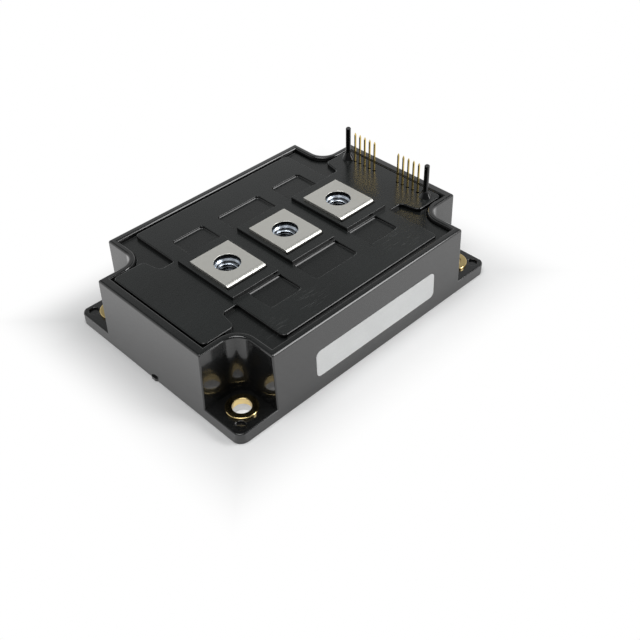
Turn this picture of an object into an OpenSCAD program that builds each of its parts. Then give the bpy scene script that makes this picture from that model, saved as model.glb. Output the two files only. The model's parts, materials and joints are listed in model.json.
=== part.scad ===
// Half bridge power module: moulded case with notched corners, inset lid, three screw terminals,
// ten signal pins and two guide posts. The origin is the centre of the flat underside, +Z up.

/* [Case] */
// Length of the case at its foot, along X
case_l = 125.5; // [110:0.5:160]
// Width of the case at its foot, along Y
case_w = 88.5; // [82:0.5:110]
// Height of the case, foot to rim
case_h = 28; // [26:0.5:34]
// How far each outer face leans in from foot to rim
draft_in = 0.8; // [0.2:0.1:1.6]
// Thickness of the outer walls at the rim
wall = 2.6; // [2:0.1:3.4]
// How far the underside of the plastic stays above the base plate's face
base_proud = 0.2; // [0.1:0.1:0.5]
// Width of the small gate stub at the foot of the short side away from the pins
gate_w = 3.2; // [2:0.1:5]
// How far the gate stub stands out
gate_out = 0.6; // [0.3:0.1:1]
// Height of the gate stub
gate_h = 1.1; // [0.6:0.1:2]

/* [Corner ears] */
// Height of the ears that carry the mounting holes
ear_h = 4.5; // [4:0.1:7]
// Radius of the ears' outer corners
ear_r = 3.5; // [1:0.5:6]
// Length of each corner notch along X
notch_l = 16.5; // [14:0.5:20]
// Width of each corner notch along Y
notch_w = 17.2; // [15:0.1:20]
// Radius inside each corner notch
notch_r = 6; // [2:0.5:7]
// Distance of each mounting hole from the case's two outer edges
mount_in = 9.25; // [8.5:0.05:10]
// Diameter of each mounting hole
mount_d = 6.6; // [5:0.1:7]
// Diameter of the round dimple by each ear's outer corner
dimple_d = 3.9; // [2:0.1:5]
// Depth of the dimple
dimple_depth = 0.8; // [0.3:0.1:1]
// Distance of the dimple from the ear's two outer edges
dimple_in = 3.8; // [3:0.1:6]

/* [Rim and lid seat] */
// Width of the rim on the two short sides
rim_x = 3.6; // [3:0.1:5]
// Width of the rim on the two long sides
rim_y = 2.8; // [2.6:0.1:4]
// Width of the rim beside each notch
rim_n = 2.4; // [2:0.1:3]
// Width of the ledge that carries the lid
ledge_w = 1.5; // [1:0.1:2]
// Thickness of that ledge
ledge_t = 1.6; // [1:0.1:3]

/* [Collets] */
// Wall of the brass tube that lines each ear
collet_wall = 1; // [0.6:0.1:1.4]
// Diameter of the collet's head
collet_head_d = 11.2; // [9.5:0.1:12]
// Thickness of the collet's head
collet_head_t = 1; // [0.6:0.1:1.6]
// Bevel on the head's edges
collet_bevel = 0.4; // [0.1:0.05:0.5]

/* [Base plate] */
// Thickness of the base plate
base_t = 3; // [2.5:0.1:3.4]
// Width of the plastic skirt outside the base plate
skirt = 2.2; // [1.6:0.1:3]
// Gap between base plate and skirt
base_gap = 0.15; // [0.05:0.05:0.3]
// Radius of the base plate's corners
base_r = 2; // [1:0.5:4]

/* [Lid] */
// Height of the lid from its seat to its low corner bays
lid_t = 2; // [1.5:0.1:3]
// Height of the raised panels above the bays
panel_rise = 1.5; // [0.5:0.1:2]
// Gap between lid and rim
lid_gap = 0.3; // [0.1:0.05:0.5]
// Distance from a notch's inner wall back to the middle panel's end
panel_mid_in = 8.75; // [8:0.05:9]
// Gap between the middle panel and the lid's long edges
panel_edge_y = 1.1; // [0.5:0.1:2]
// Distance from a notch's inner wall back to the cross panel's end
panel_cross_in = 2.85; // [2.4:0.05:4]
// Distance from a notch's side wall back to the cross panel's edge
panel_cross_side = 10.45; // [9:0.05:11.5]
// Distance from a notch's inner wall back to the end panels
panel_end_in = 1.35; // [0.5:0.05:1.8]
// Gap between the panels and the lid's edge by a notch and on the short sides
panel_edge_n = 0.15; // [0.1:0.05:0.5]
// Radius of the end panels' outer corners
panel_end_r = 1.8; // [1:0.1:4]
// Radius of the end panels' corners by the bays
panel_bay_r = 2; // [0.5:0.1:2.5]
// Radius of the middle and cross panels' outer corners
panel_r = 1.5; // [0.5:0.1:3]
// Radius where middle and cross panel meet
panel_inner_r = 0.8; // [0.3:0.1:2]
// Thickness of the lid under its middle panel
lid_wall = 2; // [1.8:0.1:2.6]
// Width of the lid's solid border outside its hollow
lid_border = 5; // [4:0.5:8]

/* [Terminal blocks] */
// Distance between terminals
term_pitch = 27; // [25:0.1:28]
// Length of each terminal block along X
block_l = 20.7; // [19.8:0.1:22]
// Width of each terminal block along Y
block_w = 29; // [26:0.5:32]
// Height of the blocks above the panels
block_rise = 1.4; // [0.6:0.1:3]
// How far each nut boss reaches below the lid's seat
boss_drop = 5; // [4:0.1:6]
// Wall of the nut boss past the terminal's leg and past the nut
boss_wall = 2; // [1.6:0.1:3]
// Depth of the six shallow pockets beside the blocks
pocket_depth = 0.9; // [0.4:0.1:1.2]
// Length of the four outer pockets
pocket_l = 14; // [10:0.5:16]
// Length of the two middle pockets
pocket_mid_l = 20; // [14:0.5:20]
// Width of each pocket
pocket_w = 11; // [8:0.5:12]
// Gap between block and pocket
pocket_gap = 0.6; // [0.3:0.1:2]
// Radius of the pockets' outer corners
pocket_r = 1.2; // [1:0.1:4]

/* [Terminals] */
// Length of the terminal plate along X
plate_l = 17.2; // [15.5:0.1:18]
// Distance from the screw's axis to the plate's free edge
plate_back = 9.7; // [9:0.1:11]
// Distance from the screw's axis to the bent edge
plate_front = 10.4; // [10:0.1:11]
// Thickness of the terminal sheet
strap_t = 1.2; // [0.8:0.1:1.5]
// Outer radius of the bend
bend_r = 1.8; // [1.6:0.1:2.4]
// Diameter of the screw hole in the plate
screw_hole_d = 9.5; // [8.5:0.1:11]
// Width of the leg inside the module
leg_w = 10; // [8:0.5:12]
// Length of the foot on the conductor
foot_l = 5.4; // [4:0.1:6]
// Width of the middle terminal's foot
foot_mid_w = 16; // [12:0.5:18]
// Gap between a leg and its slot
slot_gap = 0.2; // [0.1:0.05:0.4]
// Gap between a leg and its slot in the board
board_slot_gap = 0.4; // [0.2:0.1:0.8]

/* [Nuts] */
// Width of the nut across its flats
nut_af = 13; // [12:0.5:13]
// Height of the nut
nut_h = 6.5; // [5:0.1:6.8]
// Diameter of the nut's bore
nut_bore = 6.8; // [6.6:0.1:7]
// Diameter of the countersink at the ends of the bore
nut_sink_d = 8.6; // [8:0.1:9]
// Gap between a nut and its pocket
nut_gap = 0.15; // [0.05:0.05:0.3]
// Depth of the clearance hole under the nut
screw_room = 2; // [1:0.1:2.6]

/* [Signal pins] */
// Number of pins in each of the two groups
pins = 5; // [3:1:5]
// Pitch of the pins
pin_pitch = 2.54; // [2:0.01:2.54]
// Width of a square pin
pin_w = 0.64; // [0.5:0.01:0.8]
// Distance from the end of the case to the pin row
pin_row_in = 9.35; // [8.8:0.05:10.5]
// Distance from the centre line to the first pin of a group
pin_first_y = 6.07; // [5:0.01:6.2]
// Height of the pins' tips
pin_tip_z = 40.7; // [38:0.1:46]
// Length of the taper at a pin's tip
pin_taper = 1; // [0.4:0.1:1.6]
// Diameter of the holes that let the pins through the lid
pin_hole_d = 1.3; // [1.2:0.1:1.8]
// How far pins and leads stand out of the board
lead_out = 0.8; // [0.4:0.1:1.5]
// Width of a pin header
header_w = 2.5; // [2:0.1:3]
// Height of a pin header
header_h = 2.5; // [2:0.1:4]

/* [Guide posts] */
// Distance from the centre line to each guide post
post_y = 20.05; // [19:0.05:20.5]
// Diameter of a guide post
post_d = 2; // [1.6:0.1:2.6]
// Height of the posts' tips
post_tip_z = 41.5; // [38:0.1:46]
// Diameter of the cone at a post's foot
post_foot_d = 5.2; // [4:0.1:6]
// Height of that cone
post_foot_h = 3; // [2:0.1:4]
// Bevel on the posts' tips
post_bevel = 0.3; // [0.1:0.05:0.5]

/* [Label] */
// Length of the label
label_l = 59.4; // [40:0.1:70]
// Height of the label
label_h = 10.8; // [8:0.1:14]
// Offset of the label's centre along X
label_x = 1.5; // [-5:0.1:5]
// Height of the label's lower edge
label_z = 6.4; // [5:0.1:10]
// Thickness of the label
label_t = 0.15; // [0.1:0.05:0.3]
// Radius of the label's corners
label_r = 2; // [0.5:0.1:3]

/* [Substrates and chips] */
// Gap between the two ceramic tiles
tile_split = 6; // [5:0.1:7]
// Gap between a tile and the walls inside the notches
tile_room_x = 2.65; // [1:0.05:3]
// Gap between a tile and the long walls
tile_room_y = 8.85; // [6:0.05:9]
// Thickness of the ceramic
tile_t = 0.63; // [0.3:0.01:1]
// Thickness of the copper on both faces of the ceramic
copper_t = 0.3; // [0.2:0.01:0.5]
// Bare edge of the ceramic round the copper
tile_edge = 1; // [0.8:0.1:1.2]
// Gap between copper conductors
track_gap = 1; // [0.6:0.1:1.2]
// Width of the control lead pads
lead_pad_w = 3; // [2:0.1:3.2]
// Width of the emitter conductor
emitter_w = 4; // [3:0.1:4.2]
// Side of a switching chip
igbt_s = 12; // [10:0.1:12]
// Side of a diode chip
diode_s = 9; // [8:0.1:9]
// Thickness of the chips
chip_t = 0.35; // [0.2:0.01:0.6]
// Distance from a tile's centre to its switching chips, against X
igbt_x = 5.5; // [5:0.1:6]
// Distance from a tile's centre to its diode chips
diode_x = 7; // [6.5:0.1:7.5]
// Places of the two chip rows along Y
chip_row_1 = 8.5; // [8:0.1:9]
// Second row
chip_row_2 = 23; // [22:0.1:24]
// Width of a bond ribbon
ribbon_w = 1.5; // [1:0.1:1.8]
// Thickness of a bond ribbon
ribbon_t = 0.25; // [0.1:0.01:0.3]
// Distance between ribbons
ribbon_pitch = 2.4; // [2:0.1:2.4]
// Ribbons on each chip
ribbons = 4; // [2:1:4]
// Height of a ribbon's loop
loop_h = 2; // [1:0.1:3]
// Length of a ribbon's foot
ribbon_foot = 1.4; // [1:0.1:2]
// Number of control leads on each tile
leads = 4; // [2:1:4]
// Pitch of the control leads
lead_pitch = 6; // [5:0.1:7]
// Width of a square control lead
lead_w = 0.8; // [0.5:0.1:1]
// Level of the silicone gel
gel_z = 9; // [8:0.1:11]

/* [Control board] */
// Height of the board's underside
board_z = 15; // [13:0.1:15.5]
// Thickness of the board
board_t = 1.6; // [1:0.1:2]
// Gap between the board's main part and the walls inside the notches
board_room_x = 2.65; // [1.5:0.05:3.5]
// Gap between the board's main part and the long walls
board_room_y = 3.85; // [2:0.05:4]
// Gap between the board's tongue and the short wall by the pins
tongue_room_x = 2.35; // [1.5:0.05:3]
// Gap between the board's tongue and the walls beside the notches
tongue_room_y = 3.45; // [1.5:0.05:4]
// Length of the shelves that carry the board
shelf_l = 12; // [8:0.5:16]
// How far a shelf reaches under the board
shelf_under = 1.5; // [1:0.1:2.5]
// Height of a shelf
shelf_h = 2.5; // [2:0.1:4]
// Length of a driver circuit's body
driver_l = 10.3; // [8:0.1:12]
// Width of a driver circuit's body
driver_w = 7.5; // [6:0.1:8]
// Height of a driver circuit's body
driver_h = 2.3; // [1.5:0.1:3]
// Legs on each side of a driver circuit
driver_legs = 8; // [4:1:8]
// Pitch of those legs
driver_leg_pitch = 1.27; // [0.8:0.01:1.27]
// Width of a leg
driver_leg_w = 0.4; // [0.25:0.05:0.5]
// Thickness of a leg
driver_leg_t = 0.2; // [0.1:0.05:0.3]
// Reach of a leg to its bend
driver_leg_out = 0.8; // [0.5:0.1:1.2]
// Length of a leg's foot
driver_foot_l = 0.8; // [0.5:0.1:1]
// Gap between a driver circuit's body and the board
driver_stand = 0.15; // [0.05:0.05:0.3]
// Place of the driver circuits along Y
driver_y = 25; // [24:0.5:28]
// Length of a capacitor
cap_l = 7.3; // [5:0.1:8]
// Width of a capacitor
cap_w = 4.3; // [3:0.1:5]
// Height of a capacitor
cap_h = 2.9; // [2:0.1:3.4]
// Place of the capacitors along Y
cap_y = 25; // [24:0.5:30]
// Number of small resistors
resistors = 8; // [4:1:8]
// Length of a resistor along X
resistor_l = 2; // [1:0.1:3]
// Width of a resistor
resistor_w = 1.25; // [0.6:0.05:1.6]
// Height of a resistor
resistor_h = 0.6; // [0.3:0.05:0.8]
// Pitch of the resistors
resistor_pitch = 2.4; // [2:0.1:2.6]
// Place of the resistor row's middle along Y
resistor_y = 22; // [20:0.5:23]

/* [Hidden] */
$fn = 64;
slack = 1;
tall = case_h + pin_tip_z;

// Levels
seat_z = case_h - panel_rise - lid_t;
panel_z = case_h;
block_z = panel_z + block_rise;
plate_z = block_z + strap_t;
nut_z = block_z - nut_gap - nut_h;
boss_z = seat_z - boss_drop;
tile_z = base_t + copper_t;
track_z = tile_z + tile_t;
pad_z = track_z + copper_t;
board_top = board_z + board_t;

// Half sizes of the case at its rim, the lean of its faces, and where the notch walls stand
top_x = case_l / 2 - draft_in;
top_y = case_w / 2 - draft_in;
face_tilt = atan(draft_in / (case_h - base_proud));
notch_x0 = case_l / 2 - notch_l;
notch_y0 = case_w / 2 - notch_w;

// Half sizes of the room inside, and of its narrow parts between the notches
room_x = top_x - wall;
room_y = top_y - wall;
room_x0 = notch_x0 - wall;
room_y0 = notch_y0 - wall;

// Places of the mounting holes and the pin row
mount_x = case_l / 2 - mount_in;
mount_y = case_w / 2 - mount_in;
pin_row_x = case_l / 2 - pin_row_in;

// Lid panels
panel_mid_x = notch_x0 - panel_mid_in;
panel_cross_x = notch_x0 - panel_cross_in;
panel_cross_y = notch_y0 - panel_cross_side;
panel_end_x = notch_x0 - panel_end_in;

// Control board: half sizes of the main part, and reach and half width of the tongue
board_x = room_x0 - board_room_x;
board_y = room_y - board_room_y;
board_end_x = room_x - tongue_room_x;
board_end_y = room_y0 - tongue_room_y;

// Ceramic tiles
tile_l = room_x0 - tile_room_x - tile_split / 2;
tile_x = (tile_split + tile_l) / 2;
tile_w = 2 * (room_y - tile_room_y);

// Lid opening in the rim, and the lid's own outline
seat_x = top_x - rim_x;
seat_y = top_y - rim_y;
lid_x = seat_x - lid_gap;
lid_y = seat_y - lid_gap;

// Strap and slot
leg_y0 = -plate_front;
bend_y = bend_r - plate_front;
bend_z = plate_z - bend_r;

// Conductors, from the tile's centre
copper_x = tile_l / 2 - tile_edge;
copper_y = tile_w / 2 - tile_edge;
emitter_x0 = copper_x - emitter_w;
collector_x1 = emitter_x0 - track_gap;
lead_pad_x1 = lead_pad_w - copper_x;
collector_x0 = lead_pad_x1 + track_gap;
lead_x = lead_pad_w / 2 - copper_x;
lead_y0 = chip_row_1 - igbt_s / 4;
tongue_y0 = leg_y0 - track_gap;
tongue_y1 = leg_y0 + foot_l + track_gap;
chip_rows = [chip_row_1, chip_row_2];
arc_steps = 6;
loop_steps = 8;

// Unit vector along v
function unit(v) = v / norm(v);

// Points of the arc that rounds corner b, between a and c, with radius r
function corner_arc(a, b, c, r) =
    let (
        u = unit(a - b),
        w = unit(c - b),
        half = acos(u * w) / 2,
        centre = b + unit(u + w) * r / sin(half),
        p = b + u * r / tan(half) - centre,
        q = b + w * r / tan(half) - centre,
        from = atan2(p.y, p.x),
        turn = sign(p.x * q.y - p.y * q.x) * (180 - 2 * half)
    )
    [for (i = [0:arc_steps])
        let (t = from + turn * i / arc_steps)
        centre + r * [cos(t), sin(t)]];

// Outline of corners [x, y, r], each rounded with its own radius
function rounded(corners) =
    let (n = len(corners))
    [for (i = [0:n - 1])
        let (
            a = corners[(i + n - 1) % n],
            b = corners[i],
            c = corners[(i + 1) % n]
        )
        each corner_arc([a.x, a.y], [b.x, b.y], [c.x, c.y], b[2])];

// One quarter of an outline, repeated in all four quarters
function four_quarters(q) =
    let (last = len(q) - 1)
    concat(
        q,
        [for (i = [last:-1:0]) [-q[i].x, q[i].y, q[i][2]]],
        [for (p = q) [-p.x, -p.y, p[2]]],
        [for (i = [last:-1:0]) [q[i].x, -q[i].y, q[i][2]]]
    );

// Outline of the lid's raised panels
panel_end_y = notch_y0 - rim_n - lid_gap - panel_edge_n;
panel_outline = rounded(four_quarters([
    [lid_x - panel_edge_n, panel_end_y, panel_end_r],
    [panel_end_x, panel_end_y, panel_bay_r],
    [panel_cross_x, panel_cross_y, panel_r],
    [panel_mid_x, panel_cross_y, panel_inner_r],
    [panel_mid_x, lid_y - panel_edge_y, panel_r]
]));

// Rounded rectangle about the origin
module round_rect(l, w, r) {
    square([l - 2 * r, w], center = true);
    square([l, w - 2 * r], center = true);
    for (sx = [-1, 1])
        for (sy = [-1, 1])
            translate([sx * (l / 2 - r), sy * (w / 2 - r)])
                circle(r = r);
}

// One notch in plan, with its inner corner at [x, y] rounded by r
module notch_plan(x, y, r) {
    translate([x + r, y])
        square([case_l, case_w]);
    translate([x, y + r])
        square([case_l, case_w]);
    translate([x + r, y + r])
        circle(r = r);
}

// Copies of a quarter plan in all four corners
module four_corners() {
    for (mx = [0, 1])
        for (my = [0, 1])
            mirror([mx, 0, 0])
                mirror([0, my, 0])
                    children();
}

// Plan with notched corners: half sizes hx and hy, set in from the case's notches by d
module notched_plan(hx, hy, d) {
    difference() {
        square([2 * hx, 2 * hy], center = true);
        four_corners()
            notch_plan(notch_x0 - d, notch_y0 - d, notch_r + d);
    }
}

// Block with four leaning outer faces and rounded ear corners
module drafted_block() {
    lean = [[-1, base_proud, 0], [1, base_proud, 0], [1, case_h, 1], [-1, case_h, 1]];
    intersection() {
        rotate([90, 0, 0])
            linear_extrude(case_w + slack, center = true)
                polygon([for (p = lean) [p.x * (case_l / 2 - p.z * draft_in), p.y]]);
        rotate([90, 0, 90])
            linear_extrude(case_l + slack, center = true)
                polygon([for (p = lean) [p.x * (case_w / 2 - p.z * draft_in), p.y]]);
        linear_extrude(case_h)
            round_rect(case_l, case_w, ear_r);
    }
}

// Places of the four mounting holes
module at_mounts() {
    for (sx = [-1, 1])
        for (sy = [-1, 1])
            translate([sx * mount_x, sy * mount_y, 0])
                children();
}

// Plan of the base plate, grown by gap
module base_plan(gap) {
    inset = skirt - gap;
    round_rect(case_l - 2 * inset, case_w - 2 * inset, base_r + gap);
}

module case_shell() {
    difference() {
        drafted_block();
        translate([0, 0, ear_h])
            linear_extrude(case_h)
                four_corners()
                    notch_plan(notch_x0, notch_y0, notch_r);
        translate([0, 0, -slack])
            linear_extrude(base_t + slack)
                base_plan(base_gap);
        cavity(base_t - slack, seat_z - ledge_t);
        translate([0, 0, seat_z - ledge_t - slack])
            linear_extrude(case_h)
                notched_plan(seat_x - ledge_w, seat_y - ledge_w, rim_n + ledge_w);
        translate([0, 0, seat_z])
            linear_extrude(case_h)
                notched_plan(seat_x, seat_y, rim_n);
        at_mounts()
            cylinder(d = mount_d + 2 * collet_wall, h = 2 * ear_h);
        four_corners()
            translate([case_l / 2 - dimple_in, case_w / 2 - dimple_in, ear_h - dimple_depth])
                cylinder(d = dimple_d, h = case_h);
    }
}

// Room inside the walls, between two levels
module cavity(z0, z1) {
    translate([0, 0, z0])
        linear_extrude(z1 - z0)
            notched_plan(room_x, room_y, wall);
}

// Shelves on the walls that carry the control board
module shelves() {
    translate([0, 0, board_z - shelf_h])
        linear_extrude(shelf_h) {
            for (my = [0, 1])
                for (sx = [-1, 1])
                    mirror([0, my])
                        translate([sx * board_x / 2 - shelf_l / 2, board_y - shelf_under])
                            square([shelf_l, board_room_y + shelf_under + slack]);
            translate([board_end_x - shelf_under, -shelf_l / 2])
                square([tongue_room_x + shelf_under + slack, shelf_l]);
            translate([-room_x - slack, -shelf_l / 2])
                square([room_x + slack - board_x + shelf_under, shelf_l]);
        }
}

// Stub left where the moulding's gate was trimmed
module gate_stub() {
    half = gate_w / 2;
    translate([-case_l / 2, 0, base_proud])
        linear_extrude(gate_h)
            polygon([
                [slack, -half],
                [0, -half],
                [-gate_out, gate_out - half],
                [-gate_out, half - gate_out],
                [0, half],
                [slack, half]
            ]);
}

module case_frame() {
    color("#2c2e2f") {
        case_shell();
        shelves();
        gate_stub();
    }
}

// Plan of one pocket, with its inner edge on the X axis and its outer corners rounded
module pocket_plan(l) {
    translate([-l / 2, 0])
        square([l, pocket_w - pocket_r]);
    translate([pocket_r - l / 2, 0])
        square([l - 2 * pocket_r, pocket_w]);
    for (s = [-1, 1])
        translate([s * (l / 2 - pocket_r), pocket_w - pocket_r])
            circle(r = pocket_r);
}

// The six pockets, two beside each block
module pockets() {
    for (i = [-1:1]) {
        l = i == 0 ? pocket_mid_l : pocket_l;
        x = i * (term_pitch + pocket_gap / 2 - (block_l - pocket_l) / 2);
        for (m = [0, 1])
            translate([x, 0, panel_z - pocket_depth])
                linear_extrude(block_rise + pocket_depth)
                    mirror([0, m, 0])
                        translate([0, block_w / 2 + pocket_gap])
                            pocket_plan(l);
    }
}

// Hexagon prism about the Z axis, flats square to Y
module hexagon(af, h) {
    cylinder(d = af / cos(30), h = h, $fn = 6);
}

module guide_post() {
    translate([0, 0, panel_z - slack])
        cylinder(d = post_d, h = post_tip_z - post_bevel - panel_z + slack);
    translate([0, 0, post_tip_z - post_bevel])
        cylinder(d1 = post_d, d2 = post_d - 2 * post_bevel, h = post_bevel);
    translate([0, 0, panel_z])
        cylinder(d1 = post_foot_d, d2 = post_d, h = post_foot_h);
}

// Everything cut out of a block: nut pocket, screw room and the slot for the terminal's leg
module block_cut() {
    translate([0, 0, nut_z])
        hexagon(nut_af + 2 * nut_gap, nut_h + slack);
    translate([0, 0, nut_z - screw_room])
        cylinder(d = screw_hole_d, h = tall);
    translate([-plate_l / 2 - slot_gap, leg_y0 - slot_gap, boss_z - slack])
        cube([plate_l + 2 * slot_gap, bend_y - leg_y0 + slot_gap, tall]);
}

// Lid plate with its raised panels, hollow below the middle one
module lid_plate() {
    core_x = panel_mid_x - lid_border;
    core_y = lid_y - lid_border;
    difference() {
        union() {
            translate([0, 0, seat_z])
                linear_extrude(lid_t)
                    notched_plan(lid_x, lid_y, rim_n + lid_gap);
            translate([0, 0, seat_z])
                linear_extrude(panel_z - seat_z)
                    polygon(panel_outline);
        }
        translate([-core_x, -core_y, seat_z - slack])
            cube([2 * core_x, 2 * core_y, panel_z - lid_wall - seat_z + slack]);
    }
}

// Terminal block with the nut boss below it
module terminal_block() {
    boss_y0 = leg_y0 - boss_wall;
    translate([-block_l / 2, -block_w / 2, panel_z - lid_wall])
        cube([block_l, block_w, block_rise + lid_wall]);
    translate([-block_l / 2, boss_y0, boss_z])
        cube([block_l, nut_af / 2 + boss_wall - boss_y0, panel_z - boss_z]);
}

module lid() {
    color("#2e3032")
        difference() {
            union() {
                lid_plate();
                for (i = [-1:1])
                    translate([i * term_pitch, 0, 0])
                        terminal_block();
                for (s = [-1, 1])
                    translate([pin_row_x, s * post_y, 0])
                        guide_post();
            }
            pockets();
            for (i = [-1:1])
                translate([i * term_pitch, 0, 0])
                    block_cut();
            for (k = [1:2 * pins])
                at_pin(k)
                    cylinder(d = pin_hole_d, h = tall);
        }
}

// Place of signal pin k
module at_pin(k) {
    s = k > pins ? 1 : -1;
    i = (k - 1) % pins;
    translate([pin_row_x, s * (pin_first_y + i * pin_pitch), 0])
        children();
}

module label() {
    color("#cfd1d1")
        translate([label_x, -case_w / 2, base_proud])
            rotate([90 - face_tilt, 0, 0])
                translate([0, label_z - base_proud + label_h / 2, 0])
                    linear_extrude(label_t)
                        round_rect(label_l, label_h, label_r);
}

module base_plate() {
    color("#b9bcbd")
        difference() {
            linear_extrude(base_t)
                base_plan(0);
            at_mounts()
                translate([0, 0, -slack])
                    cylinder(d = mount_d, h = base_t + 2 * slack);
        }
}

// Brass collet: a tube through the ear and a head with bevelled edges on top
module collet(sx, sy) {
    r = mount_d / 2;
    head_r = collet_head_d / 2;
    top = ear_h + collet_head_t;
    color("#c9a24a")
        translate([sx * mount_x, sy * mount_y, 0])
            rotate_extrude()
                polygon([
                    [r, base_t],
                    [r + collet_wall, base_t],
                    [r + collet_wall, ear_h],
                    [head_r, ear_h],
                    [head_r, top - collet_bevel],
                    [head_r - collet_bevel, top],
                    [r + collet_bevel, top],
                    [r, top - collet_bevel]
                ]);
}

// Terminal: plate with a screw hole, a bend, a leg down into the module and a foot
module terminal(i) {
    foot_w = i == 0 ? foot_mid_w : leg_w;
    color("#b8bab5")
        translate([i * term_pitch, 0, 0]) {
            difference() {
                translate([-plate_l / 2, bend_y, block_z])
                    cube([plate_l, plate_back - bend_y, strap_t]);
                translate([0, 0, block_z - slack])
                    cylinder(d = screw_hole_d, h = strap_t + 2 * slack);
            }
            translate([plate_l / 2, bend_y, bend_z])
                rotate([90, 0, -90])
                    rotate_extrude(angle = 90)
                        translate([bend_r - strap_t, 0])
                            square([strap_t, plate_l]);
            translate([-plate_l / 2, leg_y0, boss_z])
                cube([plate_l, strap_t, bend_z - boss_z]);
            translate([-leg_w / 2, leg_y0, pad_z])
                cube([leg_w, strap_t, bend_z - pad_z]);
            translate([-foot_w / 2, leg_y0, pad_z])
                cube([foot_w, foot_l, strap_t]);
        }
}

module nut(i) {
    sink = (nut_sink_d - nut_bore) / 2;
    color("#9fb0c4")
        translate([i * term_pitch, 0, nut_z])
            difference() {
                hexagon(nut_af, nut_h);
                translate([0, 0, -slack])
                    cylinder(d = nut_bore, h = nut_h + 2 * slack);
                translate([0, 0, nut_h - sink])
                    cylinder(d1 = nut_bore, d2 = nut_sink_d + 2 * slack, h = sink + slack);
                translate([0, 0, -slack])
                    cylinder(d1 = nut_sink_d + 2 * slack, d2 = nut_bore, h = sink + slack);
            }
}

// Square pin between two levels, tapered at its top on all four sides
module square_pin(w, z0, z1, taper) {
    side = [[-w / 2, z0], [w / 2, z0], [w / 2, z1 - taper], [w / 8, z1], [-w / 8, z1], [-w / 2, z1 - taper]];
    intersection() {
        rotate([90, 0, 0])
            linear_extrude(2 * w, center = true)
                polygon(side);
        rotate([90, 0, 90])
            linear_extrude(2 * w, center = true)
                polygon(side);
    }
}

module signal_pin(k) {
    color("#d8b24e")
        at_pin(k)
            square_pin(pin_w, board_z - lead_out, pin_tip_z, pin_taper);
}

// Moulded strip round one group of pins, on the board
module pin_header(s) {
    mid_y = s * (pin_first_y + (pins - 1) * pin_pitch / 2);
    color("#232425")
        difference() {
            translate([pin_row_x, mid_y, board_top + header_h / 2])
                cube([header_w, pins * pin_pitch, header_h], center = true);
            pin_cuts(board_top - slack, board_top + header_h + slack);
        }
}

// Square holes for all signal pins between two levels
module pin_cuts(z0, z1) {
    for (k = [1:2 * pins])
        at_pin(k)
            translate([-pin_w / 2, -pin_w / 2, z0])
                cube([pin_w, pin_w, z1 - z0]);
}

// Places of the control leads of one tile
module at_leads(side) {
    for (i = [0:leads - 1])
        translate([side * tile_x + lead_x, lead_y0 + i * lead_pitch, 0])
            children();
}

module control_board() {
    slot_l = leg_w + 2 * board_slot_gap;
    color("#2f6b3f")
        difference() {
            translate([0, 0, board_z])
                linear_extrude(board_t)
                    union() {
                        square([2 * board_x, 2 * board_y], center = true);
                        translate([0, -board_end_y])
                            square([board_end_x, 2 * board_end_y]);
                    }
            for (i = [-1:1])
                translate([i * term_pitch - slot_l / 2, leg_y0 - board_slot_gap, board_z - slack])
                    cube([slot_l, strap_t + 2 * board_slot_gap, board_t + 2 * slack]);
            pin_cuts(board_z - slack, board_top + slack);
            for (side = [-1, 1])
                at_leads(side)
                    translate([-lead_w / 2, -lead_w / 2, board_z - slack])
                        cube([lead_w, lead_w, board_t + 2 * slack]);
        }
}

// Bent leg of a driver circuit: out of the body's side, down, and out along the board
module driver_leg() {
    w = driver_leg_w;
    t = driver_leg_t;
    translate([-w / 2, -t, driver_h / 2])
        cube([w, driver_leg_out + t, t]);
    translate([-w / 2, driver_leg_out - t, 0])
        cube([w, t, driver_h / 2 + t]);
    translate([-w / 2, driver_leg_out - t, 0])
        cube([w, driver_foot_l, t]);
}

// Flat package with a row of bent legs on both sides
module driver_circuit(side) {
    color("#3a3b3c")
        translate([side * board_x / 2, driver_y, board_top]) {
            translate([-driver_l / 2, -driver_w / 2, driver_stand])
                cube([driver_l, driver_w, driver_h - driver_stand]);
            for (my = [0, 1])
                for (i = [0:driver_legs - 1])
                    mirror([0, my, 0])
                        translate([(i - (driver_legs - 1) / 2) * driver_leg_pitch, driver_w / 2, 0])
                            driver_leg();
        }
}

module capacitor(side) {
    color("#c9a227")
        translate([side * board_x / 2 - cap_l / 2, -cap_y - cap_w / 2, board_top])
            cube([cap_l, cap_w, cap_h]);
}

// Row of small resistors between the driver circuits
module chip_resistors() {
    first_y = resistor_y - (resistors - 1) / 2 * resistor_pitch;
    color("#1f2022")
        for (i = [0:resistors - 1])
            translate([0, first_y + i * resistor_pitch, board_top + resistor_h / 2])
                cube([resistor_l, resistor_w, resistor_h], center = true);
}

module ceramic_tile(side) {
    color("#e9e7df")
        translate([side * tile_x - tile_l / 2, -tile_w / 2, tile_z])
            cube([tile_l, tile_w, tile_t]);
}

module back_copper(side) {
    color("#b87333")
        translate([side * tile_x - copper_x, -copper_y, base_t])
            cube([2 * copper_x, 2 * copper_y, copper_t]);
}

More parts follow.
